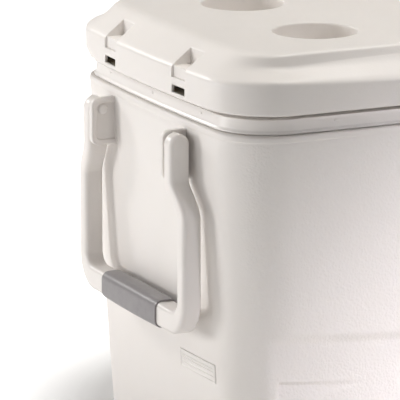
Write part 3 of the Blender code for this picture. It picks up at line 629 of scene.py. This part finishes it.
def lid_sag(x, y, inset, z):
    """How far the lid's front drops below its profile, towards its middle."""
    middle = np.where(y > 0, 0.0, np.clip(1 - (x / SAG_REACH) ** 2, 0.0, None))
    share = min(max(inset / STEP_INSET, 0.0), 1.0)
    edge = min(max((z - SAG_LOW_Z) / (EDGE_Z - SAG_LOW_Z), 0.0), 1.0) * (1 - share)
    wall = min(max((LID_TOP_Z - z) / (LID_TOP_Z - FOOT_Z), 0.0), 1.0)
    return middle * (EDGE_SAG * edge - FOOT_RISE * share * wall)


def lid_profiles():
    """Dense (inset, height) rows from the hem to the plateau, for the ends and the sides."""
    shoulder = soften([END_PROFILE[-1]] + END_SLOPE, SLOPE_CUTS, 6)[1:]
    ledge = soften([SIDE_PROFILE[-1]] + SIDE_SLOPE, SIDE_CUTS, 6)[1:]
    ends, sides = list(END_PROFILE), list(SIDE_PROFILE)
    for k, (end, side) in enumerate(zip(shoulder, ledge)):
        last_end, last_side = np.array(ends[-1]), np.array(sides[-1])
        gap = np.linalg.norm(end - last_end)
        count = max(1, int(gap / 0.0015))
        crosses = last_end[0] < NOTCH_DEPTH < end[0]
        shares = set(np.linspace(0, 1, count + 1)[1:])
        if crosses:
            middle = (NOTCH_DEPTH - last_end[0]) / (end[0] - last_end[0])
            span = 0.0009 / (end[0] - last_end[0])
            shares = {s for s in shares if abs(s - middle) > span or s == 1.0}
            shares |= set(middle + span * np.linspace(-1, 1, 7))
        for share in sorted(s for s in shares if 0 < s <= 1.0):
            ends.append(tuple(last_end + (end - last_end) * share))
            sides.append(tuple(last_side + (side - last_side) * share))
    return np.array(ends), np.array(sides)


def notch_columns():
    offsets = [sign * (STRAP_HALF + extra) for sign in (-1, 1)
               for extra in (-0.0008, -0.0004, 0.0, 0.0004, 0.0008)]
    return end_columns(round(sign * STRAP_Y + offset, 6) for sign in (-1, 1) for offset in offsets)


def lid_row(end, side, ends):
    """One row of the lid's outside."""
    corner = max(BODY_CORNER + LID_OVERHANG - 0.7 * (end[0] + side[0]) / 2, 0.03)
    flat, share = plan_outline(SEAM_X + LID_OVERHANG - end[0], SEAM_Y + LID_OVERHANG - side[0],
                               corner, ends)
    x, y = flat[:, 0], flat[:, 1]
    z = end[1] * (1 - share) + side[1] * share
    z = z - share * lid_sag(x, y, side[0], side[1])
    off = np.abs(np.abs(y) - STRAP_Y) - STRAP_HALF
    inside = np.where(share < 1e-6, 1 - smooth((off + 0.0004) / 0.0008), 0.0)
    reach = 1 - smooth((end[0] - NOTCH_DEPTH + 0.0004) / 0.0008)
    z = z - inside * reach * np.maximum(z - NOTCH_FLOOR_Z, 0.0)
    channel = smooth((end[1] - CHANNEL_Z + 0.0003) / 0.0006) * (end[0] < CHANNEL_DEPTH + 0.0015)
    push = inside * channel * np.maximum(CHANNEL_DEPTH - end[0], 0.0)
    x = x - np.sign(x) * push
    rear = smooth((y - 0.120) / 0.020)
    tuck = rear * 0.0045 * np.clip((0.3790 - end[1]) / 0.009, 0.0, 1.0)
    length = np.hypot(x / SEAM_X, y / SEAM_Y)
    x, y = x - tuck * x / SEAM_X / length, y - tuck * y / SEAM_Y / length
    x, y = bowed(x, y)
    return np.stack([x, y, z], 1)


def cup_rings(centre, steps=96):
    """Rings down one cup well, from its filleted rim to the middle of its floor."""
    profile = soften([(CUP_R + 0.0030, 0.0), (CUP_R - 0.0002, 0.0), (CUP_R - 0.0014, -CUP_DEPTH),
                      (0.006, -CUP_DEPTH)], (0, 0.0030, 0.0045, 0), 7)
    angle = around(steps)
    return [at_height(centre[0] + r * np.cos(angle), centre[1] + r * np.sin(angle), LID_TOP_Z + h)
            for r, h in profile]


def skin_rings(work, rings, holes=()):
    """Add rings to a bmesh as quads, and return their vertices."""
    made = [work.verts.new(point) for point in np.concatenate(rings)]
    for face in loft_faces(len(rings), len(rings[0]), holes=holes):
        work.faces.new([made[k] for k in face])
    return made


def make_lid_shell():
    """Lid's top with its notches, slots and cup wells."""
    columns_at = notch_columns()
    ends, sides = lid_profiles()
    rings = [lid_row(end, side, columns_at) for end, side in zip(ends, sides)]
    count = len(rings[0])
    probe = rings[3]
    slot_rows = [r for r in range(len(ends) - 1)
                 if SLOT_LOW - 1e-6 <= ends[r][1] and ends[r + 1][1] <= SLOT_HIGH + 1e-6
                 and ends[r][0] == 0.0 and ends[r + 1][0] == 0.0]
    middle_y = (probe[:, 1] + np.roll(probe[:, 1], -1)) / 2 - CENTRE_Y
    slot_columns = [c for c in range(count)
                    if abs(abs(middle_y[c]) - STRAP_Y) < STRAP_HALF - 0.0005
                    and abs(probe[c, 0]) > SEAM_X - 0.01]
    holes = {(r, c) for r in slot_rows for c in slot_columns}
    work = bmesh.new()
    made = skin_rings(work, rings, holes)
    loops = [made[(len(rings) - 1) * count:]]
    for sign_x in (-1, 1):
        for sign_y in (-1, 1):
            centre = (sign_x * CUP_X, sign_y * CUP_Y + CENTRE_Y)
            rows = cup_rings(centre)
            well = skin_rings(work, rows)
            loops.append(well[:len(rows[0])])
            work.faces.new(well[-len(rows[0]):])
    edges = []
    for loop in loops:
        for pair in zip(loop, loop[1:] + loop[:1]):
            edges.append(work.edges.get(pair) or work.edges.new(pair))
    bmesh.ops.triangle_fill(work, edges=edges, use_beauty=True)
    loose = [v for v in work.verts if not v.link_faces]
    bmesh.ops.delete(work, geom=loose, context="VERTS")
    bmesh.ops.recalc_face_normals(work, faces=work.faces)
    mesh = bpy.data.meshes.new("lid_shell")
    work.to_mesh(mesh)
    work.free()
    dress_mesh(mesh, LID, 50)
    thing = add_object("lid_shell", mesh)
    skin = thing.modifiers.new("skin", "SOLIDIFY")
    skin.thickness = LID_SKIN
    skin.offset = -1.0
    weigh = thing.modifiers.new("normals", "WEIGHTED_NORMAL")
    weigh.keep_sharp = True
    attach(thing, "lid")
    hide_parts("lid_top_shell")


def make_lid_panel():
    """Panel under the lid, with its plug and a shallow ring pressed into it."""
    edge, plug, low = WALL + GAP + 0.0002, 0.036, LID_Z + 0.0002
    under = soften([(edge, low), (plug, low), (plug + 0.0006, 0.3562), (plug + 0.012, 0.3542),
                    (plug + 0.022, 0.3542), (plug + 0.026, 0.3560), (plug + 0.040, 0.3560)],
                   (0, 0.003, 0.005, 0.003, 0.003, 0.003, 0), 6)
    above = [(plug + 0.040, 0.3585), (plug + WALL + 0.003, 0.3590), (plug + WALL, 0.3630),
             (plug + WALL, low + 0.0028), (edge, low + 0.0028)]
    rings = []
    for inset, z in list(under) + above:
        corner = BODY_CORNER - 0.028 if inset > 0.02 else BODY_CORNER + LID_OVERHANG - 0.003
        shift = 0.0 if inset > 0.02 else LID_OVERHANG
        rings.append(seam_ring(inset - shift, z, corner))
    columns, inner = len(rings[0]), len(under) - 1
    middle = {(inner, c) for c in range(columns)}
    faces = loft_faces(len(rings), columns, closed=True, holes=middle)
    faces.append(tuple(range(inner * columns, (inner + 1) * columns)))
    faces.append(tuple(reversed(range((inner + 1) * columns, (inner + 2) * columns))))
    panel = add_mesh("lid_inner_skin", np.concatenate(rings), faces, LINER)
    settle(panel, "lid", "lid_inner_panel", slot="liner_white")


# ---- handles ----
def rounded_section(centre, outward, half_i, half_x, radius, steps=5):
    """Rounded rectangle round a centre; outward is one of its axes, X is the other."""
    radius = min(radius, 0.96 * half_i, 0.96 * half_x)
    points = []
    for sign_i, sign_x, start in QUARTERS:
        for angle in np.radians(start + np.linspace(0, 90, steps + 1)):
            i = sign_i * (half_i - radius) + radius * math.cos(angle)
            x = sign_x * (half_x - radius) + radius * math.sin(angle)
            points.append(centre + outward * i + np.array([x, 0.0, 0.0]))
    return np.array(points)


def arm_stations():
    """Stations down one arm and round to the bar's middle: out, Y, down, angle, halves."""
    half = ARM_THICK / 2
    rows = []
    for t in np.radians([89, 84, 76, 68, 60, 50, 40, 30, 20, 10, 0]):
        edge = 1 - 0.18 * max(0.0, math.sin(t) - 0.75) / 0.25
        rows.append((ARM_TOP_OUT, ARM_TOP_Y, PIVOT_DOWN - ARM_TOP_HALF * math.sin(t), 0.0,
                     half * edge, ARM_TOP_HALF * math.cos(t)))
    for down in np.linspace(PIVOT_DOWN, DOGLEG_START, 6)[1:-1]:
        rows.append((ARM_TOP_OUT, ARM_TOP_Y, down, 0.0, half, ARM_TOP_HALF))
    for t in np.linspace(0, 1, 17):
        blend = float(smooth(t))
        rise = 6 * t * (1 - t) * (ARM_LOW_Y - ARM_TOP_Y) / (DOGLEG_END - DOGLEG_START)
        rows.append((ARM_TOP_OUT + (ARM_LOW_OUT - ARM_TOP_OUT) * blend,
                     ARM_TOP_Y + (ARM_LOW_Y - ARM_TOP_Y) * blend,
                     DOGLEG_START + (DOGLEG_END - DOGLEG_START) * t, math.atan(rise),
                     half, ARM_TOP_HALF + (ARM_LOW_HALF - ARM_TOP_HALF) * blend))
    for down in np.linspace(DOGLEG_END, BAR_DOWN - BAIL_BEND, 12)[1:-1]:
        rows.append((ARM_LOW_OUT, ARM_LOW_Y, down, 0.0, half, ARM_LOW_HALF))
    for t in np.linspace(0, 1, 17):
        angle, blend = math.radians(90 * t), float(smooth(t))
        rows.append((ARM_LOW_OUT, ARM_LOW_Y - BAIL_BEND * (1 - math.cos(angle)),
                     BAR_DOWN - BAIL_BEND * (1 - math.sin(angle)), -angle,
                     half + (BAR_HALF_Z - half) * blend,
                     ARM_LOW_HALF + (BAR_HALF_X - ARM_LOW_HALF) * blend))
    return rows


def make_handle(side, sign):
    rings = []
    stations = arm_stations()
    for half, mirror in ((stations, 1), (stations[::-1], -1)):
        for out, y, down, angle, thick, width in half:
            centre = np.array([sign * (SEAM_X + out), mirror * y + CENTRE_Y, SEAM_Z - down])
            outward = np.array([0.0, mirror * math.cos(angle), math.sin(angle)])
            rings.append(rounded_section(centre, outward, thick, width, 0.0052))
    handle = add_loft(side + "_bail", rings, HANDLE, sharp=60)
    settle(handle, side + "_bail", side + "_handle", slot="handle_white")


def make_grip(side, sign):
    """Rubber sleeve with a slight crown and rounded ends."""
    centre_x, centre_z = sign * (SEAM_X + ARM_LOW_OUT), SEAM_Z - BAR_DOWN
    outside = soften([(-GRIP_HALF, GAP), (-GRIP_HALF, GAP + GRIP_SKIN),
                      (0.0, GAP + GRIP_SKIN + 0.0009), (GRIP_HALF, GAP + GRIP_SKIN),
                      (GRIP_HALF, GAP)], (0, 0.0011, 0.06, 0.0011, 0), 8)
    inside = [(y, GAP / 2) for y in np.linspace(GRIP_HALF, -GRIP_HALF, 5)[1:-1]]
    levels = [(y, more, 0.0060 + more) for y, more in outside]
    levels += [(y, more, 0.0054) for y, more in inside]
    rings = [rounded_section(np.array([centre_x, y + CENTRE_Y, centre_z]),
                             np.array([0.0, 0.0, 1.0]), BAR_HALF_Z + more, BAR_HALF_X + more,
                             radius, 7) for y, more, radius in levels]
    grip = add_loft(side + "_grip_sleeve", rings, GRIP, closed=True, sharp=50)
    settle(grip, side + "_bail", side + "_grip", slot="grip_grey")


def bracket_outline(rim, base_gap, y, steps=8):
    """X and Z of the bracket's outline, moved in by a rim on three sides."""
    top, low = SEAM_Z - BRACKET_TOP, SEAM_Z - BRACKET_LOW
    out = SEAM_X + BRACKET_OUT
    corner = 0.0085 - rim * 0.7
    points = []
    for t in np.linspace(0, 1, 6)[:-1]:
        start = end_face_x(y, low) + base_gap
        points.append((start + (out - rim - corner - start) * t, low + rim))
    for z_centre, start in ((low + rim + corner, -90), (top - rim - corner, 0)):
        for angle in np.radians(start + np.linspace(0, 90, steps + 1)):
            points.append((out - rim - corner + corner * math.cos(angle),
                           z_centre + corner * math.sin(angle)))
    for t in np.linspace(0, 1, 6)[1:]:
        end = end_face_x(y, top) + base_gap
        points.append((out - rim - corner + (end - out + rim + corner) * t, top - rim))
    return np.array(points)


def make_bracket(side, sign, place, mirror):
    """Lug with a raised rim round a sunk panel, on the arm's inner side."""
    middle = BRACKET_IN_Y + BRACKET_THICK / 2
    layers = [(0.0006, BRACKET_THICK), (0.0, BRACKET_THICK - 0.0008), (0.0, 0.0012),
              (0.0004, 0.0004), (0.0012, 0.0), (0.0046, 0.0), (0.0054, 0.0006), (0.0060, 0.0022)]
    rings = []
    for rim, deep in layers:
        base = 0.0006 if rim < 0.003 else 0.0
        outline = bracket_outline(rim, base, middle)
        if rim >= 0.003:
            outline[:, 0] = np.maximum(outline[:, 0], end_face_x(middle, SEAM_Z - 0.03) + 0.0006)
        rings.append(np.stack([sign * outline[:, 0],
                               np.full(len(outline), mirror * (BRACKET_IN_Y + deep) + CENTRE_Y),
                               outline[:, 1]], 1))
    bracket = add_loft(side + "_lug_" + place, rings, HANDLE, sharp=50)
    settle(bracket, "chest", side + "_bracket_" + place, slot="handle_white")


def make_pin(side, sign, place, mirror):
    """Pin with a domed head that sits on the bracket's sunk panel."""
    face = BRACKET_IN_Y + 0.0022
    tip = ARM_TOP_Y - ARM_THICK / 2 + 0.0118
    dome = [(face - 0.0034 * math.cos(a), PIN_HEAD_R * math.sin(a))
            for a in np.radians(np.linspace(2, 90, 10))]
    profile = dome + [(face - GAP, PIN_HEAD_R - 0.0001), (face - GAP, PIN_R), (tip, PIN_R)]
    centre = (sign * (SEAM_X + PIVOT_OUT), CENTRE_Y, SEAM_Z - PIVOT_DOWN)
    rings = turned_points([(mirror * y, r) for y, r in profile], centre, "Y", 32)
    pin = add_loft(side + "_rivet_" + place, rings, HANDLE, sharp=50)
    settle(pin, "chest", side + "_pivot_pin_" + place, slot="pin_white")


# ---- hinges ----
def slab(outline, y_low, y_high, edge=0.0004):
    """Rings of a plate with eased edges: an (x, z) outline taken through its thickness."""
    centre = outline.mean(0)
    reach = np.abs(outline - centre).max(0)
    rings = []
    for y, inset in ((y_low, edge), (y_low + edge, 0.0), (y_high - edge, 0.0), (y_high, edge)):
        flat = centre + (outline - centre) * (1 - inset / reach)
        rings.append(np.stack([flat[:, 0], np.full(len(flat), y), flat[:, 1]], 1))
    return rings


def leaf_outline(x, root, tip, notches):
    """Plate outline in X and Z: round corners at its tip, notches for the other barrels."""
    half, turn = HINGE_HALF, 0.006 * (1 if tip > root else -1)
    path = [(x - half, root)]
    for centre, start in ((-1, math.pi), (1, math.pi / 2)):
        for angle in start - np.linspace(0, math.pi / 2, 9):
            path.append((x + centre * (half - 0.006) + 0.006 * math.cos(angle),
                         tip - turn + turn * math.sin(angle)))
    path.append((x + half, root))
    path += notches
    return np.array(path)


def barrel_rings(x_low, x_high, steps=40):
    """Closed rings of one barrel, with eased ends and its bore."""
    ease = 0.0005
    profile = [(x_low, BARREL_R - ease), (x_low + ease, BARREL_R), (x_high - ease, BARREL_R),
               (x_high, BARREL_R - ease), (x_high, HINGE_BORE), (x_low, HINGE_BORE)]
    return turned_points(profile, HINGE_AXIS, "X", steps)


def add_leaf(name, outline, y, spans):
    """One hinge leaf: its plate, and a barrel over each span of X."""
    y = y + CENTRE_Y
    parts = [(slab(outline, y, y + LEAF_THICK), False)]
    parts += [(barrel_rings(low, high), True) for low, high in spans]
    return add_mesh(name, *gather(parts), HINGE, 40)


def make_leaves(word, x):
    """The two leaves of one hinge, each notched where the other one's barrels turn."""
    knuckle = KNUCKLE_HALF + KNUCKLE_GAP
    room = HINGE_Z - KNUCKLE_ROOM
    cut = [(x + knuckle, HINGE_Z), (x + knuckle, room), (x - knuckle, room),
           (x - knuckle, HINGE_Z)]
    body_leaf = add_leaf("hinge_body_plate_" + word, leaf_outline(x, HINGE_Z, BODY_LEAF_LOW, cut),
                         BODY_LEAF_Y, ((x - HINGE_HALF, x - knuckle), (x + knuckle, x + HINGE_HALF)))
    settle(body_leaf, "chest", "hinge_body_leaf_" + word, slot="hinge_white")
    room = HINGE_Z + KNUCKLE_ROOM
    cut = [(x + KNUCKLE_HALF, room), (x + KNUCKLE_HALF, HINGE_Z), (x - KNUCKLE_HALF, HINGE_Z),
           (x - KNUCKLE_HALF, room)]
    lid_leaf = add_leaf("hinge_lid_plate_" + word, leaf_outline(x, room, LID_LEAF_HIGH, cut),
                        LID_LEAF_Y, ((x - KNUCKLE_HALF, x + KNUCKLE_HALF),))
    settle(lid_leaf, "lid", "hinge_lid_leaf_" + word, slot="hinge_white")


def make_hinge_pin(word, x):
    ease = 0.0004
    profile = [(x - HINGE_HALF, HINGE_PIN_R - ease), (x - HINGE_HALF + ease, HINGE_PIN_R),
               (x + HINGE_HALF - ease, HINGE_PIN_R), (x + HINGE_HALF, HINGE_PIN_R - ease)]
    rings = turned_points(profile, HINGE_AXIS, "X", 28)
    pin = add_loft("hinge_rod_" + word, rings, STEEL)
    settle(pin, "chest", "hinge_pin_" + word, slot="steel")


def make_screw(kind, body, word, number, x, z, leaf_y):
    """Pan-head screw with a cross recess."""
    seat = leaf_y + LEAF_THICK + CENTRE_Y + GAP
    steps = 48
    angle = around(steps)
    profile = [(-SCREW_LONG, SCREW_R * 0.4), (-SCREW_LONG + 0.0012, SCREW_R), (0.0, SCREW_R),
               (0.0, SCREW_HEAD_R - 0.0001), (SCREW_HEAD * 0.25, SCREW_HEAD_R)]
    for part in np.linspace(0.96, 0.04, 18):
        fall = max(part - 0.5, 0.0) / 0.5
        profile.append((SCREW_HEAD * (1 - 0.5 * fall ** 2), SCREW_HEAD_R * part))
    rings = []
    for height, radius in profile:
        across, up = radius * np.cos(angle), radius * np.sin(angle)
        slot = np.minimum(np.abs(across), np.abs(up))
        deep = (1 - smooth((slot - 0.00030) / 0.00018)) * (1 - smooth((radius - 0.0019) / 0.0004))
        sunk = 0.0009 * deep if height > SCREW_HEAD * 0.4 else 0.0 * deep
        rings.append(np.stack([x + across, seat + height - sunk, z + up], 1))
    screw = add_loft("%s_fixing_%s_%d" % (kind, word, number), rings, STEEL, sharp=45)
    settle(screw, body, "%s_screw_%s_%d" % (kind, word, number), slot="steel")


def make_hinges():
    for word, x in HINGE_X:
        make_leaves(word, x)
        make_hinge_pin(word, x)
        for number, side in ((1, -1), (2, 1)):
            place = x + side * SCREW_OFFSET
            make_screw("body", "chest", word, number, place, BODY_SCREW_Z, BODY_LEAF_Y)
            make_screw("lid", "lid", word, number, place, LID_SCREW_Z, LID_LEAF_Y)


# ---- drain ----
def make_spout():
    """Threaded tube with a flange against the gasket."""
    crest, turns_per_m = 0.0005, 1 / 0.003
    thread = np.arange(FLANGE_X + FLANGE_THICK + 0.0008, DRAIN_OUT_X - 0.0006, 0.0003)
    profile = [(DRAIN_IN_X, DRAIN_BORE + 0.0004), (DRAIN_IN_X, DRAIN_R - 0.0004),
               (DRAIN_IN_X + 0.0004, DRAIN_R), (FLANGE_X, DRAIN_R), (FLANGE_X, FLANGE_R - 0.0004),
               (FLANGE_X + 0.0004, FLANGE_R), (FLANGE_X + FLANGE_THICK - 0.0006, FLANGE_R),
               (FLANGE_X + FLANGE_THICK, FLANGE_R - 0.0006), (FLANGE_X + FLANGE_THICK, DRAIN_R)]
    profile += [(x, DRAIN_R) for x in thread]
    profile += [(DRAIN_OUT_X - 0.0003, DRAIN_R - 0.0004), (DRAIN_OUT_X, DRAIN_R - 0.0008),
                (DRAIN_OUT_X, DRAIN_BORE + 0.0004), (DRAIN_OUT_X - 0.0004, DRAIN_BORE),
                (DRAIN_IN_X + 0.0004, DRAIN_BORE)]
    steps = 72
    rings = turned_points(profile, DRAIN_AXIS, "X", steps)
    angle = around(steps)
    for ring, (x, radius) in zip(rings, profile):
        if radius == DRAIN_R and x >= thread[0]:
            groove = crest * smooth(0.5 + 0.9 * np.cos(2 * math.pi * x * turns_per_m - angle))
            scale_about(ring, CENTRE_Y, DRAIN_Z, 1 - groove / DRAIN_R)
    spout = add_loft("drain_threaded_tube", rings, DRAIN, closed=True)
    settle(spout, "chest", "drain_spout", slot="drain_white")


def make_nut():
    """Six-sided nut inside the tub."""
    steps = 96
    angle = around(steps)
    to_flat = np.abs((angle + math.pi / 6) % (math.pi / 3) - math.pi / 6)
    flats = NUT_R * math.cos(math.pi / 6) / np.cos(to_flat)
    outside, bore = np.minimum(flats, NUT_R * 0.985), DRAIN_R + GAP
    levels = [(NUT_LOW_X, outside * 0.94), (NUT_LOW_X + 0.0006, outside),
              (NUT_HIGH_X - 0.0006, outside), (NUT_HIGH_X, outside * 0.94),
              (NUT_HIGH_X, bore), (NUT_LOW_X, bore)]
    rings = [DRAIN_AXIS + np.stack([np.full(steps, x), radius * np.cos(angle),
                                    radius * np.sin(angle)], 1) for x, radius in levels]
    nut = add_loft("drain_hex_nut", rings, DRAIN, closed=True)
    settle(nut, "chest", "drain_nut", slot="drain_white")


def make_cap():
    """Screw cap with grip ribs round its edge and a shallow dish in its face."""
    steps, ribs = 192, 24
    angle = around(steps)
    profile = [(CAP_TOP_X, 0.0002), (CAP_TOP_X, CAP_BORE), (CAP_IN_X, CAP_BORE),
               (CAP_IN_X, CAP_R - 0.0008), (CAP_IN_X + 0.0008, CAP_R), (CAP_OUT_X - 0.0030, CAP_R),
               (CAP_OUT_X - 0.0012, CAP_R - 0.0006), (CAP_OUT_X - 0.0003, CAP_R - 0.0018),
               (CAP_OUT_X, CAP_R - 0.0030), (CAP_OUT_X, CAP_R - 0.0050),
               (CAP_OUT_X - 0.0008, CAP_R - 0.0060), (CAP_OUT_X - 0.0010, 0.0002)]
    rings = turned_points(profile, DRAIN_AXIS, "X", steps)
    for ring, (x, radius) in zip(rings, profile):
        if radius > CAP_R - 0.0010:
            scale = 1 - 0.0008 / CAP_R * smooth(0.5 - 0.8 * np.cos(ribs * angle))
            scale_about(ring, CENTRE_Y, DRAIN_Z, scale)
    cap = add_loft("drain_screw_cap", rings, DRAIN, sharp=45)
    settle(cap, "cap", "drain_cap", slot="drain_white")


# ---- studio ----
def add_area(name, direction, distance, target, size, spread, power, colour):
    """Round area light; direction points from its target towards it."""
    light = bpy.data.lights.new(name, "AREA")
    light.shape = "DISK"
    light.size = size
    light.energy = power
    light.spread = math.radians(spread)
    light.color = colour
    thing = add_object(name, light)
    thing.location = Vector(direction).normalized() * distance + Vector(target)
    thing.rotation_euler = (Vector(target) - thing.location).to_track_quat("-Z", "Y").to_euler()


# name, direction towards the light, distance, what it is aimed at, diameter, spread, power,
# colour
WARM = (1.0, 0.985, 0.975)
LIGHTS = (
    ("key", (-0.43, 0.80, 0.43), 2.4, (-0.3, 0.0, 0.25), 0.36, 180, 16.0, (1.0, 0.985, 0.965)),
    ("left_soft", (-0.90, 0.40, 0.12), 2.4, (-0.3, 0.0, 0.2), 0.8, 180, 21.0, WARM),
    ("left_wide", (-1.0, -0.1, 0.35), 2.5, (-0.3, 0.0, 0.2), 1.2, 180, 6.6, WARM),
    ("top_soft", (0.10, -0.15, 1.0), 2.5, (0.0, 0.0, 0.3), 1.4, 180, 41.0, (1.0, 0.975, 0.93)),
    ("top_right", (0.45, 0.30, 0.85), 2.5, (0.0, 0.0, 0.3), 1.0, 180, 11.5, (1.0, 0.975, 0.94)),
    ("front_upper", (0.40, -0.85, 0.42), 2.4, (0.05, -0.2, 0.08), 0.25, 20, 1.0,
     (0.98, 0.94, 1.0)),
)
AMBIENT, FLOOR_TONE, FLOOR_NEAR, FLOOR_FAR, FLOOR_SEEN = 0.11, 0.85, 0.0, 0.22, 0.9


def make_studio():
    scene = bpy.context.scene
    scene.view_settings.view_transform = "Standard"
    world = bpy.data.worlds.new("studio")
    scene.world = world
    world.use_nodes = True
    tree = world.node_tree
    tree.nodes.clear()
    seen = node(tree, "Background", Strength=1.0, Color=(1, 1, 1, 1))
    ambient = node(tree, "Background", Strength=AMBIENT, Color=(*WARM, 1))
    path = node(tree, "LightPath")
    mix = node(tree, "MixShader")
    out = node(tree, "OutputWorld")
    link(path.outputs["Is Camera Ray"], mix.inputs["Fac"])
    link(ambient.outputs[0], mix.inputs[1])
    link(seen.outputs[0], mix.inputs[2])
    link(mix.outputs[0], out.inputs["Surface"])
    for row in LIGHTS:
        add_area(*row)
    make_floor()


def make_floor():
    """Pale seamless floor that glows away from the chest, and fades to white in the view."""
    material = bpy.data.materials.new("pale_floor")
    material.use_nodes = True
    tree = material.node_tree
    shader = tree.nodes["Principled BSDF"]
    fill(shader, {"Base Color": (FLOOR_TONE, FLOOR_TONE, FLOOR_TONE, 1), "Roughness": 0.9,
                  "Emission Color": (1, 1, 1, 1)})
    away = node(tree, "VectorMath", operation="LENGTH")
    link(node(tree, "TexCoord").outputs["Object"], away.inputs[0])
    glow = remap(tree, away.outputs["Value"], 0.40, 0.90, FLOOR_NEAR, FLOOR_FAR)
    fade = remap(tree, away.outputs["Value"], 0.36, 0.54, 0.0, FLOOR_SEEN)
    seen = maths(tree, "MULTIPLY", fade, node(tree, "LightPath").outputs["Is Camera Ray"])
    link(maths(tree, "ADD", glow, seen), shader.inputs["Emission Strength"])
    floor = add_mesh("floor", [(-6, -6, -0.0005), (6, -6, -0.0005), (6, 6, -0.0005),
                               (-6, 6, -0.0005)], [(0, 1, 2, 3)], material)


def make_camera():
    """A long lens from the front left, looking down a little."""
    camera = bpy.data.cameras.new("camera")
    camera.lens, camera.sensor_width = 347.9, 36.0
    camera.clip_start, camera.clip_end = 0.1, 100.0
    thing = add_object("camera", camera)
    thing.location = (-1.9027, -3.3951, 1.1486)
    azimuth, pitch = math.radians(-25.5), math.radians(13.51)
    back = Vector((math.sin(azimuth) * math.cos(pitch), -math.cos(azimuth) * math.cos(pitch),
                   math.sin(pitch)))
    thing.rotation_mode = "QUATERNION"
    thing.rotation_quaternion = (-back).to_track_quat("-Z", "Y")
    bpy.context.scene.camera = thing


def dress_frame():
    """Better materials for the CAD nodes that stay as they are."""
    looks = {"lid_foam": FOAM, "drain_gasket": SEAL, "drain_cap_seal": SEAL}
    for name, look in looks.items():
        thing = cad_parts[name]
        thing.data.materials.clear()
        thing.data.materials.append(look)


make_camera()
make_studio()
dress_frame()
make_body_shell()
make_body_foam()
make_liner()
make_rim_nubs()
make_plate()
make_lid_shell()
make_lid_panel()
for side_name, side_sign in SIDES:
    make_handle(side_name, side_sign)
    make_grip(side_name, side_sign)
    for place_name, place_sign in PLACES:
        make_bracket(side_name, side_sign, place_name, place_sign)
        make_pin(side_name, side_sign, place_name, place_sign)
make_hinges()
make_spout()
make_nut()
make_cap()
